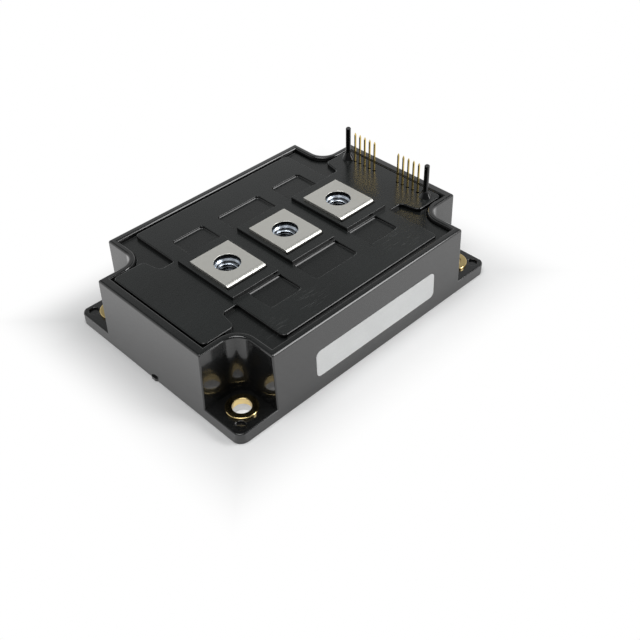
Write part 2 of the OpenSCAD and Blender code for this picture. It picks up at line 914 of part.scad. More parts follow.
// Plan of the copper conductors on a tile; the second tile's collector and emitter change places
// where the terminals' feet stand
module conductor_plan(side) {
    for (i = [0:leads - 1])
        translate([-copper_x, lead_y0 + (i - 0.5) * lead_pitch + track_gap / 2])
            square([lead_pad_w, lead_pitch - track_gap]);
    chip_y0 = tongue_y1 + track_gap;
    if (side < 0) {
        translate([collector_x0, -copper_y])
            square([collector_x1 - collector_x0, 2 * copper_y]);
        translate([emitter_x0, -copper_y])
            square([emitter_w, 2 * copper_y]);
    } else {
        translate([collector_x0, chip_y0])
            square([collector_x1 - collector_x0, copper_y - chip_y0]);
        translate([-copper_x, tongue_y0])
            square([foot_mid_w / 2 + track_gap, tongue_y1 - tongue_y0]);
        translate([collector_x0, tongue_y0])
            square([foot_mid_w / 2 + track_gap - copper_x - collector_x0, chip_y0 - tongue_y0 + track_gap]);
        translate([emitter_x0, -copper_y])
            square([emitter_w, 2 * copper_y]);
        translate([foot_mid_w / 2 + 2 * track_gap - copper_x, -copper_y])
            square([emitter_x0 - foot_mid_w / 2 - 2 * track_gap + copper_x + slack, tongue_y1 + copper_y]);
    }
}

module conductors(side) {
    color("#c07a3e")
        translate([side * tile_x, 0, track_z])
            linear_extrude(copper_t)
                conductor_plan(side);
}

// Square chip on the collector
module chip(side, x, row, s, tone) {
    color(tone)
        translate([side * tile_x + x - s / 2, chip_rows[row] - s / 2, pad_z])
            cube([s, s, chip_t]);
}

module igbt_chip(side, row) {
    chip(side, -igbt_x, row, igbt_s, "#8d9399");
}

module diode_chip(side, row) {
    chip(side, diode_x, row, diode_s, "#757b82");
}

// Centre line of a ribbon: parabola loops between three feet
function loop(x0, z0, x1, z1) =
    [for (i = [1:loop_steps - 1])
        let (t = i / loop_steps)
        [x0 + (x1 - x0) * t, z0 + (z1 - z0) * t + 4 * loop_h * t * (1 - t)]];

function ribbon_line() =
    let (
        f = ribbon_foot / 2,
        top = pad_z + chip_t,
        a = -igbt_x,
        b = diode_x,
        c = emitter_x0 + emitter_w / 2
    )
    concat(
        [[a - f, top], [a + f, top]],
        loop(a + f, top, b - f, top),
        [[b - f, top], [b + f, top]],
        loop(b + f, top, c - f, pad_z),
        [[c - f, pad_z], [c + f, pad_z]]
    );

module ribbon() {
    line = ribbon_line();
    last = len(line) - 1;
    rotate([90, 0, 0])
        linear_extrude(ribbon_w, center = true)
            polygon(concat(line, [for (i = [last:-1:0]) line[i] + [0, ribbon_t]]));
}

module bond_ribbons(side) {
    color("#c8cbcf")
        for (y = chip_rows)
            for (i = [0:ribbons - 1])
                translate([side * tile_x, y + (i - (ribbons - 1) / 2) * ribbon_pitch, 0])
                    ribbon();
}

module control_leads(side) {
    color("#bfa15a")
        at_leads(side)
            translate([-lead_w / 2, -lead_w / 2, pad_z])
                cube([lead_w, lead_w, board_top + lead_out - pad_z]);
}

// Soft potting that fills the module round the chips up to its level
module silicone_gel() {
    color("#dfe6ea", 0.5)
        difference() {
            cavity(base_t, gel_z);
            for (side = [-1, 1]) {
                back_copper(side);
                ceramic_tile(side);
                conductors(side);
                bond_ribbons(side);
                control_leads(side);
                for (row = [0, 1]) {
                    igbt_chip(side, row);
                    diode_chip(side, row);
                }
            }
            for (i = [-1:1])
                terminal(i);
        }
}

case_frame();
lid();
label();
base_plate();
collet(-1, -1);  // collet_1
collet(1, -1);  // collet_2
collet(1, 1);  // collet_3
collet(-1, 1);  // collet_4
terminal(-1);  // terminal_1
terminal(0);  // terminal_2
terminal(1);  // terminal_3
nut(-1);  // nut_1
nut(0);  // nut_2
nut(1);  // nut_3
signal_pin(1);  // signal_pin_1
signal_pin(2);  // signal_pin_2
signal_pin(3);  // signal_pin_3
signal_pin(4);  // signal_pin_4
signal_pin(5);  // signal_pin_5
signal_pin(6);  // signal_pin_6
signal_pin(7);  // signal_pin_7
signal_pin(8);  // signal_pin_8
signal_pin(9);  // signal_pin_9
signal_pin(10);  // signal_pin_10
pin_header(-1);  // pin_header_1
pin_header(1);  // pin_header_2
control_board();
driver_circuit(-1);  // driver_circuit_1
driver_circuit(1);  // driver_circuit_2
capacitor(-1);  // capacitor_1
capacitor(1);  // capacitor_2
chip_resistors();
ceramic_tile(-1);  // ceramic_tile_1
ceramic_tile(1);  // ceramic_tile_2
back_copper(-1);  // back_copper_1
back_copper(1);  // back_copper_2
conductors(-1);  // conductors_1
conductors(1);  // conductors_2
igbt_chip(-1, 0);  // igbt_chip_1
igbt_chip(-1, 1);  // igbt_chip_2
igbt_chip(1, 0);  // igbt_chip_3
igbt_chip(1, 1);  // igbt_chip_4
diode_chip(-1, 0);  // diode_chip_1
diode_chip(-1, 1);  // diode_chip_2
diode_chip(1, 0);  // diode_chip_3
diode_chip(1, 1);  // diode_chip_4
bond_ribbons(-1);  // bond_ribbons_1
bond_ribbons(1);  // bond_ribbons_2
control_leads(-1);  // control_leads_1
control_leads(1);  // control_leads_2
silicone_gel();
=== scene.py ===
"""Looks of a half bridge power module: black mouldings, plated terminals, brass collets and gold pins.

Meshes are in metres, in the part's own frame: origin at the centre of the underside, +Z up and +X towards the
pins. The sizes of finishes and sub-assemblies are in millimetres, those of the studio in metres.
"""

import json
import logging
import math
from dataclasses import dataclass, field
from enum import Enum
from typing import Callable, Optional, Sequence, Union

import bmesh
import bpy
import numpy as np
from mathutils import Matrix, Vector


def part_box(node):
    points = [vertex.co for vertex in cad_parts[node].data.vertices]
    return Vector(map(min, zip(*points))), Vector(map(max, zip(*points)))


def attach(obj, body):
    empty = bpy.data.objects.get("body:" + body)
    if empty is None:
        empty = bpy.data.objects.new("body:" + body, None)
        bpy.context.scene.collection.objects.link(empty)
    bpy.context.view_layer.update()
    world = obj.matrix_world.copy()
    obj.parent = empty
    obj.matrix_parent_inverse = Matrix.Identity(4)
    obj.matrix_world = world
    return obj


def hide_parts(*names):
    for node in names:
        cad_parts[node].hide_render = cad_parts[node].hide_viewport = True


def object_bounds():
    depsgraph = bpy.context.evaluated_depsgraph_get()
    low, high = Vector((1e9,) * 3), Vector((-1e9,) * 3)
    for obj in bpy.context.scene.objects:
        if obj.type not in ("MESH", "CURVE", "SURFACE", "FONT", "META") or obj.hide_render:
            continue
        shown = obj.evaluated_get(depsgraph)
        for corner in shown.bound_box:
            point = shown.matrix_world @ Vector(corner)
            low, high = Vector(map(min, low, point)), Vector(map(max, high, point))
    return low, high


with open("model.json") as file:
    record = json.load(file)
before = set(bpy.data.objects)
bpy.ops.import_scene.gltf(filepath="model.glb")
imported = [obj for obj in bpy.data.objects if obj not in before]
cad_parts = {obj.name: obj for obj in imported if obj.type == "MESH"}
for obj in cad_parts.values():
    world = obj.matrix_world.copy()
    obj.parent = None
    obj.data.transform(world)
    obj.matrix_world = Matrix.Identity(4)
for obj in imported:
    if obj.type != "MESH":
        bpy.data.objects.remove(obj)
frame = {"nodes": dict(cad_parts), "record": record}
CAD_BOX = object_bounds()

LOG = logging.getLogger("power_module")
MM = 0.001

Colour = tuple[float, float, float]
Operand = Union["Sock", float, Sequence[float]]


class Cells(Enum):
    """What a cell pattern measures: the way to the cell's own point, or to its border."""

    POINT = "F1"
    BORDER = "DISTANCE_TO_EDGE"


# Shader maths


class Sock:
    """A node's output that takes Python's operators, each as one Math node."""

    def __init__(self, bench: "Bench", out: bpy.types.NodeSocket) -> None:
        """Wraps an output.

        Args:
            bench: The bench whose nodes the output belongs to.
            out: The output socket.
        """
        self.bench = bench
        self.out = out

    def maths(self, operation: str, *operands: Operand) -> "Sock":
        """Adds one Math node.

        Args:
            operation: The Math node's operation.
            operands: Its inputs, in order.

        Returns:
            The node's value.
        """
        return self.bench.node("ShaderNodeMath", {"operation": operation}, dict(enumerate(operands)))

    def __add__(self, other: Operand) -> "Sock":
        """Sum."""
        return self.maths("ADD", self, other)

    def __radd__(self, other: Operand) -> "Sock":
        """Sum, with the number first."""
        return self.maths("ADD", other, self)

    def __sub__(self, other: Operand) -> "Sock":
        """Difference."""
        return self.maths("SUBTRACT", self, other)

    def __rsub__(self, other: Operand) -> "Sock":
        """Difference, with the number first."""
        return self.maths("SUBTRACT", other, self)

    def __mul__(self, other: Operand) -> "Sock":
        """Product."""
        return self.maths("MULTIPLY", self, other)

    def __rmul__(self, other: Operand) -> "Sock":
        """Product, with the number first."""
        return self.maths("MULTIPLY", other, self)

    def __pow__(self, other: Operand) -> "Sock":
        """Power."""
        return self.maths("POWER", self, other)

    def ramp(self, low: float, high: float, start: float = 0.0, end: float = 1.0) -> "Sock":
        """Smooth step from one value to another.

        Args:
            low: Value where the step begins.
            high: Value where it ends.
            start: Result up to low.
            end: Result from high on.

        Returns:
            The stepped value.
        """
        return self.bench.node(
            "ShaderNodeMapRange",
            {"interpolation_type": "SMOOTHSTEP"},
            {"Value": self, "From Min": low, "From Max": high, "To Min": start, "To Max": end},
        )


class Bench:
    """A node tree, with one method for every kind of node."""

    def __init__(self, tree: bpy.types.NodeTree) -> None:
        """Takes a tree to work on.

        Args:
            tree: The node tree of a material or of the world.
        """
        self.tree = tree

    def node(
        self,
        kind: str,
        settings: Optional[dict] = None,
        sockets: Optional[dict] = None,
        out: Union[int, str] = 0,
    ) -> Sock:
        """Adds one node of any type.

        Args:
            kind: The node's type.
            settings: Its properties, set before its sockets.
            sockets: A value or a Sock for each input, by name or number.
            out: Name or number of the output to return.

        Returns:
            That output.
        """
        made = self.tree.nodes.new(kind)
        for key, value in (settings or {}).items():
            setattr(made, key, value)
        for key, value in (sockets or {}).items():
            self.feed(made.inputs[key], value)
        return Sock(self, made.outputs[out])

    def feed(self, socket: bpy.types.NodeSocket, value: Operand) -> None:
        """Links a Sock to an input, or sets the input's constant.

        Args:
            socket: The input.
            value: A Sock, a number, a vector or a colour.
        """
        if isinstance(value, Sock):
            self.tree.links.new(value.out, socket)
        elif socket.type == "RGBA":
            socket.default_value = (*value, 1.0)
        else:
            socket.default_value = value

    def blend(self, factor: Operand, first: Union[Sock, Colour], second: Union[Sock, Colour]) -> Sock:
        """Mixes two colours."""
        return self.node("ShaderNodeMix", {"data_type": "RGBA"}, {0: factor, 6: first, 7: second}, 2)


class Paintwork(Bench):
    """A material's tree, round its Principled shader."""

    def __init__(self, name: str) -> None:
        """Starts a material with a bare Principled shader.

        Args:
            name: The material's name.
        """
        self.material = bpy.data.materials.new(name)
        self.material.use_nodes = True
        super().__init__(self.material.node_tree)
        self.shader = self.tree.nodes["Principled BSDF"]
        self.place = self.node("ShaderNodeTexCoord", out="Object")

    def set(self, **values: Operand) -> None:
        """Sets the shader's sockets, with underscores for the spaces in their names."""
        for key, value in values.items():
            self.feed(self.shader.inputs[key.replace("_", " ").title().replace("Ior", "IOR")], value)

    def parts(self) -> tuple[Sock, ...]:
        """X, Y and Z of the Object coordinates."""
        split = self.node("ShaderNodeSeparateXYZ", sockets={0: self.place})
        return tuple(Sock(self, out) for out in split.out.node.outputs)

    def stretched(self, scale: Sequence[float]) -> Sock:
        """Object coordinates stretched along the axes, to draw out a pattern."""
        return self.node("ShaderNodeMapping", sockets={"Vector": self.place, "Scale": scale})

    def noise(self, per_mm: float, detail: float = 2.0, vector: Optional[Sock] = None) -> Sock:
        """Value noise.

        Args:
            per_mm: Features for each millimetre.
            detail: Octaves.
            vector: Coordinates, or None for Object coordinates.

        Returns:
            A value about 0.5, from 0 to 1.
        """
        sockets = {"Vector": vector or self.place, "Scale": per_mm / MM, "Detail": detail}
        return self.node("ShaderNodeTexNoise", {"noise_dimensions": "3D"}, sockets)

    def cells(self, per_mm: float, measure: Cells = Cells.POINT) -> Sock:
        """Distances in a pattern of scattered cells."""
        sockets = {"Vector": self.place, "Scale": per_mm / MM}
        return self.node("ShaderNodeTexVoronoi", {"feature": measure.value}, sockets, "Distance")

    def near(self, centre_mm: Sequence[float], radius_mm: float) -> Sock:
        """Smooth spot round a point.

        Args:
            centre_mm: The point.
            radius_mm: Where the spot ends.

        Returns:
            One at the point, zero from the radius on.
        """
        away = self.node(
            "ShaderNodeVectorMath",
            {"operation": "DISTANCE"},
            {0: self.place, 1: [c * MM for c in centre_mm]},
            "Value",
        )
        return away.ramp(0.2 * radius_mm * MM, radius_mm * MM, 1.0, 0.0)

    def bump(self, height: Sock, depth_mm: float) -> None:
        """Feeds the shader's Normal with a height, from 0 to 1, of the given depth."""
        sockets = {"Height": height, "Strength": 1.0, "Distance": depth_mm * MM}
        self.set(normal=self.node("ShaderNodeBump", sockets=sockets))

    def scratches(self, per_mm: float, length: float, rarity: float, turns: Sequence[float]) -> Sock:
        """Thin straight lines in several directions across X and Y.

        Each direction stretches noise along one line, so that only its narrow ridges pass the threshold.

        Args:
            per_mm: Lines for each millimetre across.
            length: How many times longer than wide a line is.
            rarity: Threshold on the noise, higher for fewer lines.
            turns: Directions in degrees.

        Returns:
            One on a scratch, zero elsewhere.
        """
        total: Union[Sock, float] = 0.0
        for turn in turns:
            turned = self.node(
                "ShaderNodeMapping",
                sockets={
                    "Vector": self.place,
                    "Rotation": (0, 0, math.radians(turn)),
                    "Scale": (1 / length, 1, 1 / length),
                },
            )
            total = total + self.noise(per_mm, 1.0, turned).ramp(rarity, rarity + 0.02)
        return total


# Finishes


@dataclass(frozen=True)
class Finish:
    """A named surface finish that dresses any piece."""

    name: str

    def paint(self, bench: Paintwork) -> None:
        """Adds the finish's nodes to a bench."""
        raise NotImplementedError

    def material(self) -> bpy.types.Material:
        """The finish's material, made once.

        Returns:
            The material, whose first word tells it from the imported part's own.
        """
        name = f"painted_{self.name}"
        found = bpy.data.materials.get(name)
        if found:
            return found
        bench = Paintwork(name)
        self.paint(bench)
        return bench.material

    def dress(self, piece: bpy.types.Object) -> None:
        """Gives the piece this finish alone."""
        piece.data.materials.clear()
        piece.data.materials.append(self.material())


@dataclass(frozen=True)
class Moulding(Finish):
    """Black moulded plastic with a fine peel, hairline scratches and dust.

    Upright faces are smoother by polish and darker by shade, which is a painted shade. Edges that lean
    towards +Y
    are paler: a painted highlight. What lies below recess_mm is darker by the recess factor: a painted shade.
    """

    tone: Colour
    roughness: float
    coat: float
    peel_mm: float = 0.004
    polish: float = 0.0
    scratch: float = 0.05
    dust: float = 0.3
    # Strength of a painted highlight on edges that lean towards +Y.
    painted_edge_highlight: float = 0.0
    speckle: float = 0.08
    # Below recess_mm a painted shade multiplies the tone by the next field.
    recess_mm: float = 0.0
    recess_shade: float = 0.75
    # Strength of a painted shade on upright faces.
    shade: float = 0.0
    hairlines: tuple[float, float, float] = (27.0, 71.0, 128.0)
    spots_mm: tuple[tuple[float, float, float, float], ...] = ()

    def paint(self, bench: Paintwork) -> None:
        """Tone and roughness drift slowly, dust sits in specks, and scratches gather at the given spots.

        Args:
            bench: The bench that gets the nodes.
        """
        drift = bench.noise(0.03, 3.0)
        grain = bench.noise(1.6, 3.0)
        fine = bench.scratches(3.4, 22.0, 0.70, self.hairlines)
        worn: Union[Sock, float] = 0.12
        for x, y, z, radius in self.spots_mm:
            worn = worn + bench.near((x, y, z), radius)
        marks = fine * worn
        specks = bench.cells(1.1).ramp(0.10, 0.05) * bench.noise(0.25).ramp(0.5, 0.66)
        pale = tuple(min(1.0, t * 5 + 0.08) for t in self.tone)
        body = bench.blend(drift.ramp(0.35, 0.65), self.tone, tuple(1.35 * t for t in self.tone))
        # Painted shade: what lies below recess_mm is darker.
        height = bench.parts()[2]
        raised = height.ramp((self.recess_mm - 0.2) * MM, self.recess_mm * MM)
        body = bench.blend(raised, tuple(self.recess_shade * t for t in self.tone), body)
        dirty = specks * worn * self.dust + marks * self.scratch
        facing = bench.node("ShaderNodeNewGeometry", out="Normal")
        split = bench.node("ShaderNodeSeparateXYZ", sockets={0: facing}, out="Z")
        steep = split.ramp(0.5, 0.97, 1.0, 0.0)
        # Painted highlight: faces that lean a little towards +Y are mixed towards the pale tone.
        edge = split.ramp(0.35, 0.6) * Sock(bench, split.out.node.outputs["Y"]).ramp(0.12, 0.3)
        # Painted shade: upright faces are darkened towards black, and hold less speckle.
        wall = steep * self.shade
        body = bench.blend(wall, body, (0.0, 0.0, 0.0))
        spots = bench.noise(2.6, 2.0).ramp(0.35, 0.75) * (1.0 - wall)
        bench.set(
            base_color=bench.blend(dirty + edge * self.painted_edge_highlight + spots * self.speckle, body, pale),
            roughness=self.roughness - self.polish * steep + 0.06 * drift + 0.05 * grain + 0.3 * dirty,
            ior=1.52,
            coat_weight=self.coat,
            coat_roughness=0.06,
        )
        bench.bump(grain + 0.6 * marks, self.peel_mm)


@dataclass(frozen=True)
class Metal(Finish):
    """Plated or bare metal with a fine grain drawn along one axis, and a few stains."""

    tone: Colour
    roughness: float
    grain: tuple[float, float, float] = (1.0, 1.0, 1.0)
    grain_mm: float = 0.003
    stain: float = 0.15
    stain_tone: Colour = (0.45, 0.43, 0.38)
    scratch: float = 0.1
    spread: float = 0.14

    def paint(self, bench: Paintwork) -> None:
        """Grain sets roughness and bump, stains darken the tone in soft patches.

        Args:
            bench: The bench that gets the nodes.
        """
        drawn = bench.noise(6.0, 3.0, bench.stretched(self.grain))
        patch = bench.noise(0.35, 4.0).ramp(0.48, 0.72)
        marks = bench.scratches(2.0, 40.0, 0.72, (20.0, 95.0)) * self.scratch
        dulled = self.roughness + self.spread * (drawn - 0.5) + self.spread * patch * self.stain
        bench.set(
            base_color=bench.blend(patch * self.stain, self.tone, self.stain_tone),
            metallic=1.0,
            roughness=dulled + marks,
        )
        bench.bump(drawn + marks, self.grain_mm)


@dataclass(frozen=True)
class HoleShadeMetal(Metal):
    """Plated metal with a painted shade in a ring round each of a row of upright holes, and at its foot in
    front.

    The ring reaches from near_mm to far_mm round each axis, below top_mm. The foot is what lies below foot_mm
    and further towards -Y than front_mm.
    """

    pitch_mm: float = 27.0
    near_mm: float = 0.0
    far_mm: float = 4.9
    top_mm: float = 30.5
    dark: float = 1.0
    front_mm: float = -99.0
    foot_mm: float = 29.95

    def paint(self, bench: Paintwork) -> None:
        """Paints shade on the metal in a ring round each hole's axis, and at the foot.

        The distance to the nearest axis comes from x less the nearest multiple of the pitch.

        Args:
            bench: The bench that gets the nodes.
        """
        super().paint(bench)
        x, y, z = bench.parts()
        pitch = self.pitch_mm * MM
        off = x - pitch * (x * (1 / pitch)).maths("ROUND", x * (1 / pitch))
        away = (off * off + y * y) ** 0.5
        ring = away.ramp(self.near_mm * MM, (self.near_mm + 0.25) * MM) * away.ramp(
            (self.far_mm - 0.1) * MM, self.far_mm * MM, 1.0, 0.0
        )
        deep = z.ramp((self.top_mm - 0.3) * MM, self.top_mm * MM, 1.0, 0.0)
        front = y.ramp(self.front_mm * MM, (self.front_mm + 0.2) * MM, 1.0, 0.0)
        foot = z.ramp((self.foot_mm - 0.1) * MM, (self.foot_mm + 0.1) * MM, 1.0, 0.0)
        # Painted shade: the ring below top_mm and the foot are mixed towards a near black tone.
        shade = (ring * deep).maths("MAXIMUM", ring * deep, front * foot)
        painted = Sock(bench, bench.shader.inputs["Base Color"].links[0].from_socket)
        bench.set(base_color=bench.blend(shade * self.dark, painted, tuple(0.03 * t for t in self.tone)))


@dataclass(frozen=True)
class Paper(Finish):
    """Label stock with a faint fibre."""

    tone: Colour

    def paint(self, bench: Paintwork) -> None:
        """Fibres drawn along X tint and lift the surface a little.

        Args:
            bench: The bench that gets the nodes.
        """
        fibre = bench.noise(4.0, 4.0, bench.stretched((0.3, 1.0, 1.0)))
        cloud = bench.noise(0.12, 3.0)
        shade = tuple(0.93 * t for t in self.tone)
        bench.set(
            base_color=bench.blend((fibre + cloud).ramp(0.7, 1.3), shade, self.tone),
            roughness=0.42 + 0.12 * fibre,
        )
        bench.bump(fibre, 0.004)


@dataclass(frozen=True)
class Laminate(Finish):
    """Circuit board: solder mask over a pattern of tracks, with speckle."""

    mask: Colour
    track: Colour

    def paint(self, bench: Paintwork) -> None:
        """Cell borders stand for tracks below the mask.

        Args:
            bench: The bench that gets the nodes.
        """
        border = bench.cells(0.22, Cells.BORDER).ramp(0.03, 0.05, 1.0, 0.0)
        speckle = bench.noise(5.0, 2.0)
        bench.set(
            base_color=bench.blend(border, self.mask, self.track),
            roughness=0.34 + 0.15 * speckle,
        )
        bench.bump(border + 0.2 * speckle, 0.03)


@dataclass(frozen=True)
class Compound(Finish):
    """Ceramic, silicon or moulding compound: a plain tone with speckle and slow drift."""

    tone: Colour
    roughness: float
    speckle: float = 0.25
    metallic: float = 0.0
    per_mm: float = 5.0

    def paint(self, bench: Paintwork) -> None:
        """Speckle darkens the tone and roughens the surface.

        Args:
            bench: The bench that gets the nodes.
        """
        spots = bench.noise(self.per_mm, 3.0)
        drift = bench.noise(0.15, 2.0)
        shade = tuple(0.6 * t for t in self.tone)
        bench.set(
            base_color=bench.blend((spots * self.speckle + drift * 0.3).ramp(0.1, 0.6), self.tone, shade),
            metallic=self.metallic,
            roughness=self.roughness + 0.15 * spots,
        )
        bench.bump(spots, 0.004)


@dataclass(frozen=True)
class Gel(Finish):
    """Clear soft silicone with a faint haze."""

    tone: Colour

    def paint(self, bench: Paintwork) -> None:
        """Haze changes how much light the gel lets through.

        Args:
            bench: The bench that gets the nodes.
        """
        haze = bench.noise(0.1, 3.0)
        bench.set(base_color=self.tone, roughness=0.12 + 0.1 * haze, alpha=0.3 + 0.2 * haze, ior=1.41)
        bench.bump(haze, 0.05)


CASE_BLACK = Moulding(
    "case_black", tone=(0.006, 0.0062, 0.0062), roughness=0.09, coat=0.6, peel_mm=0.003, scratch=0.04
)
# The lid gets painted shade in its recesses and on its upright faces, and a painted highlight on edges that
# lean towards +Y.
LID_BLACK = Moulding(
    "lid_black",
    tone=(0.0082, 0.0094, 0.0092),
    roughness=0.22,
    coat=0.0,
    peel_mm=0.008,
    polish=0.14,
    scratch=0.35,
    dust=1.1,
    painted_edge_highlight=0.9,
    speckle=0.05,
    recess_mm=27.9,
    shade=0.8,
    spots_mm=((-20.0, -33.0, 28.0, 9.0), (26.0, -31.0, 28.0, 11.0), (-36.0, -34.0, 28.0, 7.0)),
)
# The straps get painted shade on their hole walls and at their foot in front.
TERMINAL_NICKEL = HoleShadeMetal(
    "terminal_nickel",
    tone=(0.90, 0.885, 0.83),
    roughness=0.40,
    grain=(0.15, 1.0, 1.0),
    stain=0.04,
    front_mm=-9.6,
)
BASE_NICKEL = Metal("base_nickel", tone=(0.66, 0.66, 0.66), roughness=0.32, grain=(0.05, 1.0, 1.0))
# The nuts get painted shade on the thread's roots and on all that lies below 26.4 mm.
NUT_ZINC = HoleShadeMetal(
    "nut_zinc",
    tone=(0.82, 0.90, 1.0),
    roughness=0.36,
    stain=0.2,
    stain_tone=(0.3, 0.33, 0.4),
    near_mm=3.5,
    far_mm=4.15,
    top_mm=28.4,
    dark=0.95,
    front_mm=99.0,
    foot_mm=26.4,
)
COLLET_BRASS = Metal(
    "collet_brass",
    tone=(0.88, 0.68, 0.32),
    roughness=0.06,
    grain_mm=0.0005,
    stain_tone=(0.45, 0.28, 0.1),
    scratch=0.03,
    spread=0.03,
)
PIN_GOLD = Metal(
    "pin_gold",
    tone=(0.70, 0.53, 0.18),
    roughness=0.12,
    grain=(1.0, 1.0, 0.1),
    grain_mm=0.001,
    stain_tone=(0.5, 0.32, 0.1),
    scratch=0.03,
    spread=0.05,
)
TRACK_COPPER = Metal(
    "track_copper", tone=(0.80, 0.42, 0.24), roughness=0.3, stain=0.5, stain_tone=(0.35, 0.16, 0.1)
)
RIBBON_ALUMINIUM = Metal("ribbon_aluminium", tone=(0.80, 0.80, 0.81), roughness=0.25, grain=(0.1, 1.0, 1.0))
LABEL_STOCK = Paper("label_stock", tone=(0.73, 0.74, 0.735))
BOARD_GREEN = Laminate("board_green", mask=(0.02, 0.10, 0.045), track=(0.05, 0.2, 0.08))
TILE_WHITE = Compound("tile_white", tone=(0.82, 0.80, 0.75), roughness=0.5, speckle=0.1)
SILICON = Compound("silicon_grey", tone=(0.42, 0.45, 0.48), roughness=0.2, metallic=0.9)
EPOXY_BLACK = Compound("epoxy_black", tone=(0.025, 0.025, 0.027), roughness=0.5)
CAPACITOR_YELLOW = Compound("capacitor_yellow", tone=(0.62, 0.42, 0.06), roughness=0.4)
CLEAR_GEL = Gel("clear_gel", tone=(0.80, 0.84, 0.86))

# Mesh work


def read(items: bpy.types.bpy_prop_collection, key: str, kind: type, width: int = 1) -> np.ndarray:
    """One attribute of a mesh's points, edges, faces or corners as an array.

    Args:
        items: The mesh's points, edges, faces or corners.
        key: The attribute's name.
        kind: The type of its numbers.
        width: How many numbers each item has.

    Returns:
        Array of shape (items,), or (items, width).
    """
    flat = np.empty(len(items) * width, kind)
    items.foreach_get(key, flat)
    return flat.reshape(-1, width) if width > 1 else flat


def put_in_scene(mesh: bpy.types.Mesh, name: str) -> bpy.types.Object:
    """Makes an object of a mesh, at the origin and unturned.

    Args:
        mesh: The finished mesh.
        name: The object's name.

    Returns:
        The object, linked to the scene.
    """
    piece = bpy.data.objects.new(name, mesh)
    bpy.context.scene.collection.objects.link(piece)
    return piece


def tidy_normals(mesh: bpy.types.Mesh, merge: float = 1e-7) -> None:
    """Merges doubles and turns all faces outwards.

    Args:
        mesh: The mesh, changed in place.
        merge: Points closer than this, in metres, become one.
    """
    work = bmesh.new()
    work.from_mesh(mesh)
    bmesh.ops.remove_doubles(work, verts=work.verts, dist=merge)
    bmesh.ops.recalc_face_normals(work, faces=work.faces)
    work.to_mesh(mesh)
    work.free()


def grid_mesh(name: str, points: np.ndarray, wrap_rows: bool = False, caps: bool = False) -> bpy.types.Mesh:
    """Turns a grid of points, closed round its columns, into a mesh of quads.

    Face (i, j) joins points (i, j), (i, j + 1), (i + 1, j + 1) and (i + 1, j), with j taken round the path.

    Args:
        name: The mesh's name.
        points: Array of shape (rows, columns, 3), in metres.
        wrap_rows: Whether the last row joins the first.
        caps: Whether the first and the last row are closed by a flat face.

    Returns:
        The mesh, with its faces turned outwards.
    """
    rows, columns, _ = points.shape
    index = np.arange(rows * columns).reshape(rows, columns)
    below = index if wrap_rows else index[:-1]
    above = np.roll(index, -1, axis=0) if wrap_rows else index[1:]
    quads = np.stack([below, np.roll(below, -1, 1), np.roll(above, -1, 1), above], axis=-1).reshape(-1, 4)
    faces = quads.tolist()
    if caps:
        faces += [index[0][::-1].tolist(), index[-1].tolist()]
    mesh = bpy.data.meshes.new(name)
    mesh.from_pydata(points.reshape(-1, 3).tolist(), [], faces)
    tidy_normals(mesh)
    mesh.shade_smooth()
    return mesh


def fillet(
    corner: Sequence[float], before: Sequence[float], after: Sequence[float], radius: float
) -> np.ndarray:
    """Arc that rounds a corner of a profile.

    The arc leaves each leg at radius / tan(half the angle) from the corner. Its points are the quadratic
    blend of both ends and the corner, with the middle weighted so that a right angle gives a true circle.

    Args:
        corner: The corner's point.
        before: The point before it.
        after: The point after it.
        radius: The rounding's radius.

    Returns:
        Seven points, from one leg to the other.
    """
    b, a, c = (np.asarray(p, float) for p in (corner, before, after))
    u = (a - b) / np.linalg.norm(a - b)
    w = (c - b) / np.linalg.norm(c - b)
    half = math.acos(float(np.clip(u @ w, -1, 1))) / 2
    reach = radius / math.tan(half)
    t = np.linspace(0, 1, 7)[:, None]
    weight = math.sin(half)
    share = np.array([(1 - t) ** 2, 2 * weight * t * (1 - t), t**2])
    blend = share[0] * (b + u * reach) + share[1] * b + share[2] * (b + w * reach)
    return blend / share.sum(axis=0)


def rounded_profile(points: Sequence[tuple[float, float, float]]) -> np.ndarray:
    """Closed profile with each corner rounded.

    Args:
        points: Its corners as (r, z, radius), in millimetres.

    Returns:
        Array of shape (n, 2), seven points for each corner.
    """
    count = len(points)
    arcs = [
        fillet(points[i][:2], points[i - 1][:2], points[(i + 1) % count][:2], max(points[i][2], 1e-3))
        for i in range(count)
    ]
    return np.concatenate(arcs)


def revolve(profile: np.ndarray, centre: Sequence[float], steps: int) -> np.ndarray:
    """Carries a profile (r, z) round the vertical axis through a centre.

    Point (i, j) is centre + (r_i cos a_j, r_i sin a_j, z_i), with the angles a_j evenly spaced.

    Args:
        profile: Array of shape (n, 2), in millimetres.
        centre: The axis, in millimetres.
        steps: Points round the circle.

    Returns:
        Array of shape (n, steps, 3), in metres.
    """
    angle = np.linspace(0, 2 * np.pi, steps, endpoint=False)
    radius, height = profile[:, :1], profile[:, 1:]
    x = centre[0] + radius * np.cos(angle)
    y = centre[1] + radius * np.sin(angle)
    return np.stack([x, y, np.broadcast_to(height, x.shape)], axis=-1) * MM


def rounded_square(half_l: float, half_w: float, radius: float, arc: int = 6) -> np.ndarray:
    """Outline of a rounded rectangle about the origin.

    Each corner's points lie at the corner's centre + radius (cos a, sin a), with a over its own quarter.

    Args:
        half_l: Half its length along the first axis.
        half_w: Half its width along the second.
        radius: The corners' radius.
        arc: Points on each corner.

    Returns:
        Array of shape (4 arc, 2).
    """
    turn = np.linspace(0, np.pi / 2, arc)
    start = np.arange(4)[:, None] * np.pi / 2
    angle = start + turn
    sx = np.array([1, -1, -1, 1])[:, None]
    sy = np.array([1, 1, -1, -1])[:, None]
    x = sx * (half_l - radius) + radius * np.cos(angle)
    y = sy * (half_w - radius) + radius * np.sin(angle)
    return np.stack([x.ravel(), y.ravel()], axis=-1)


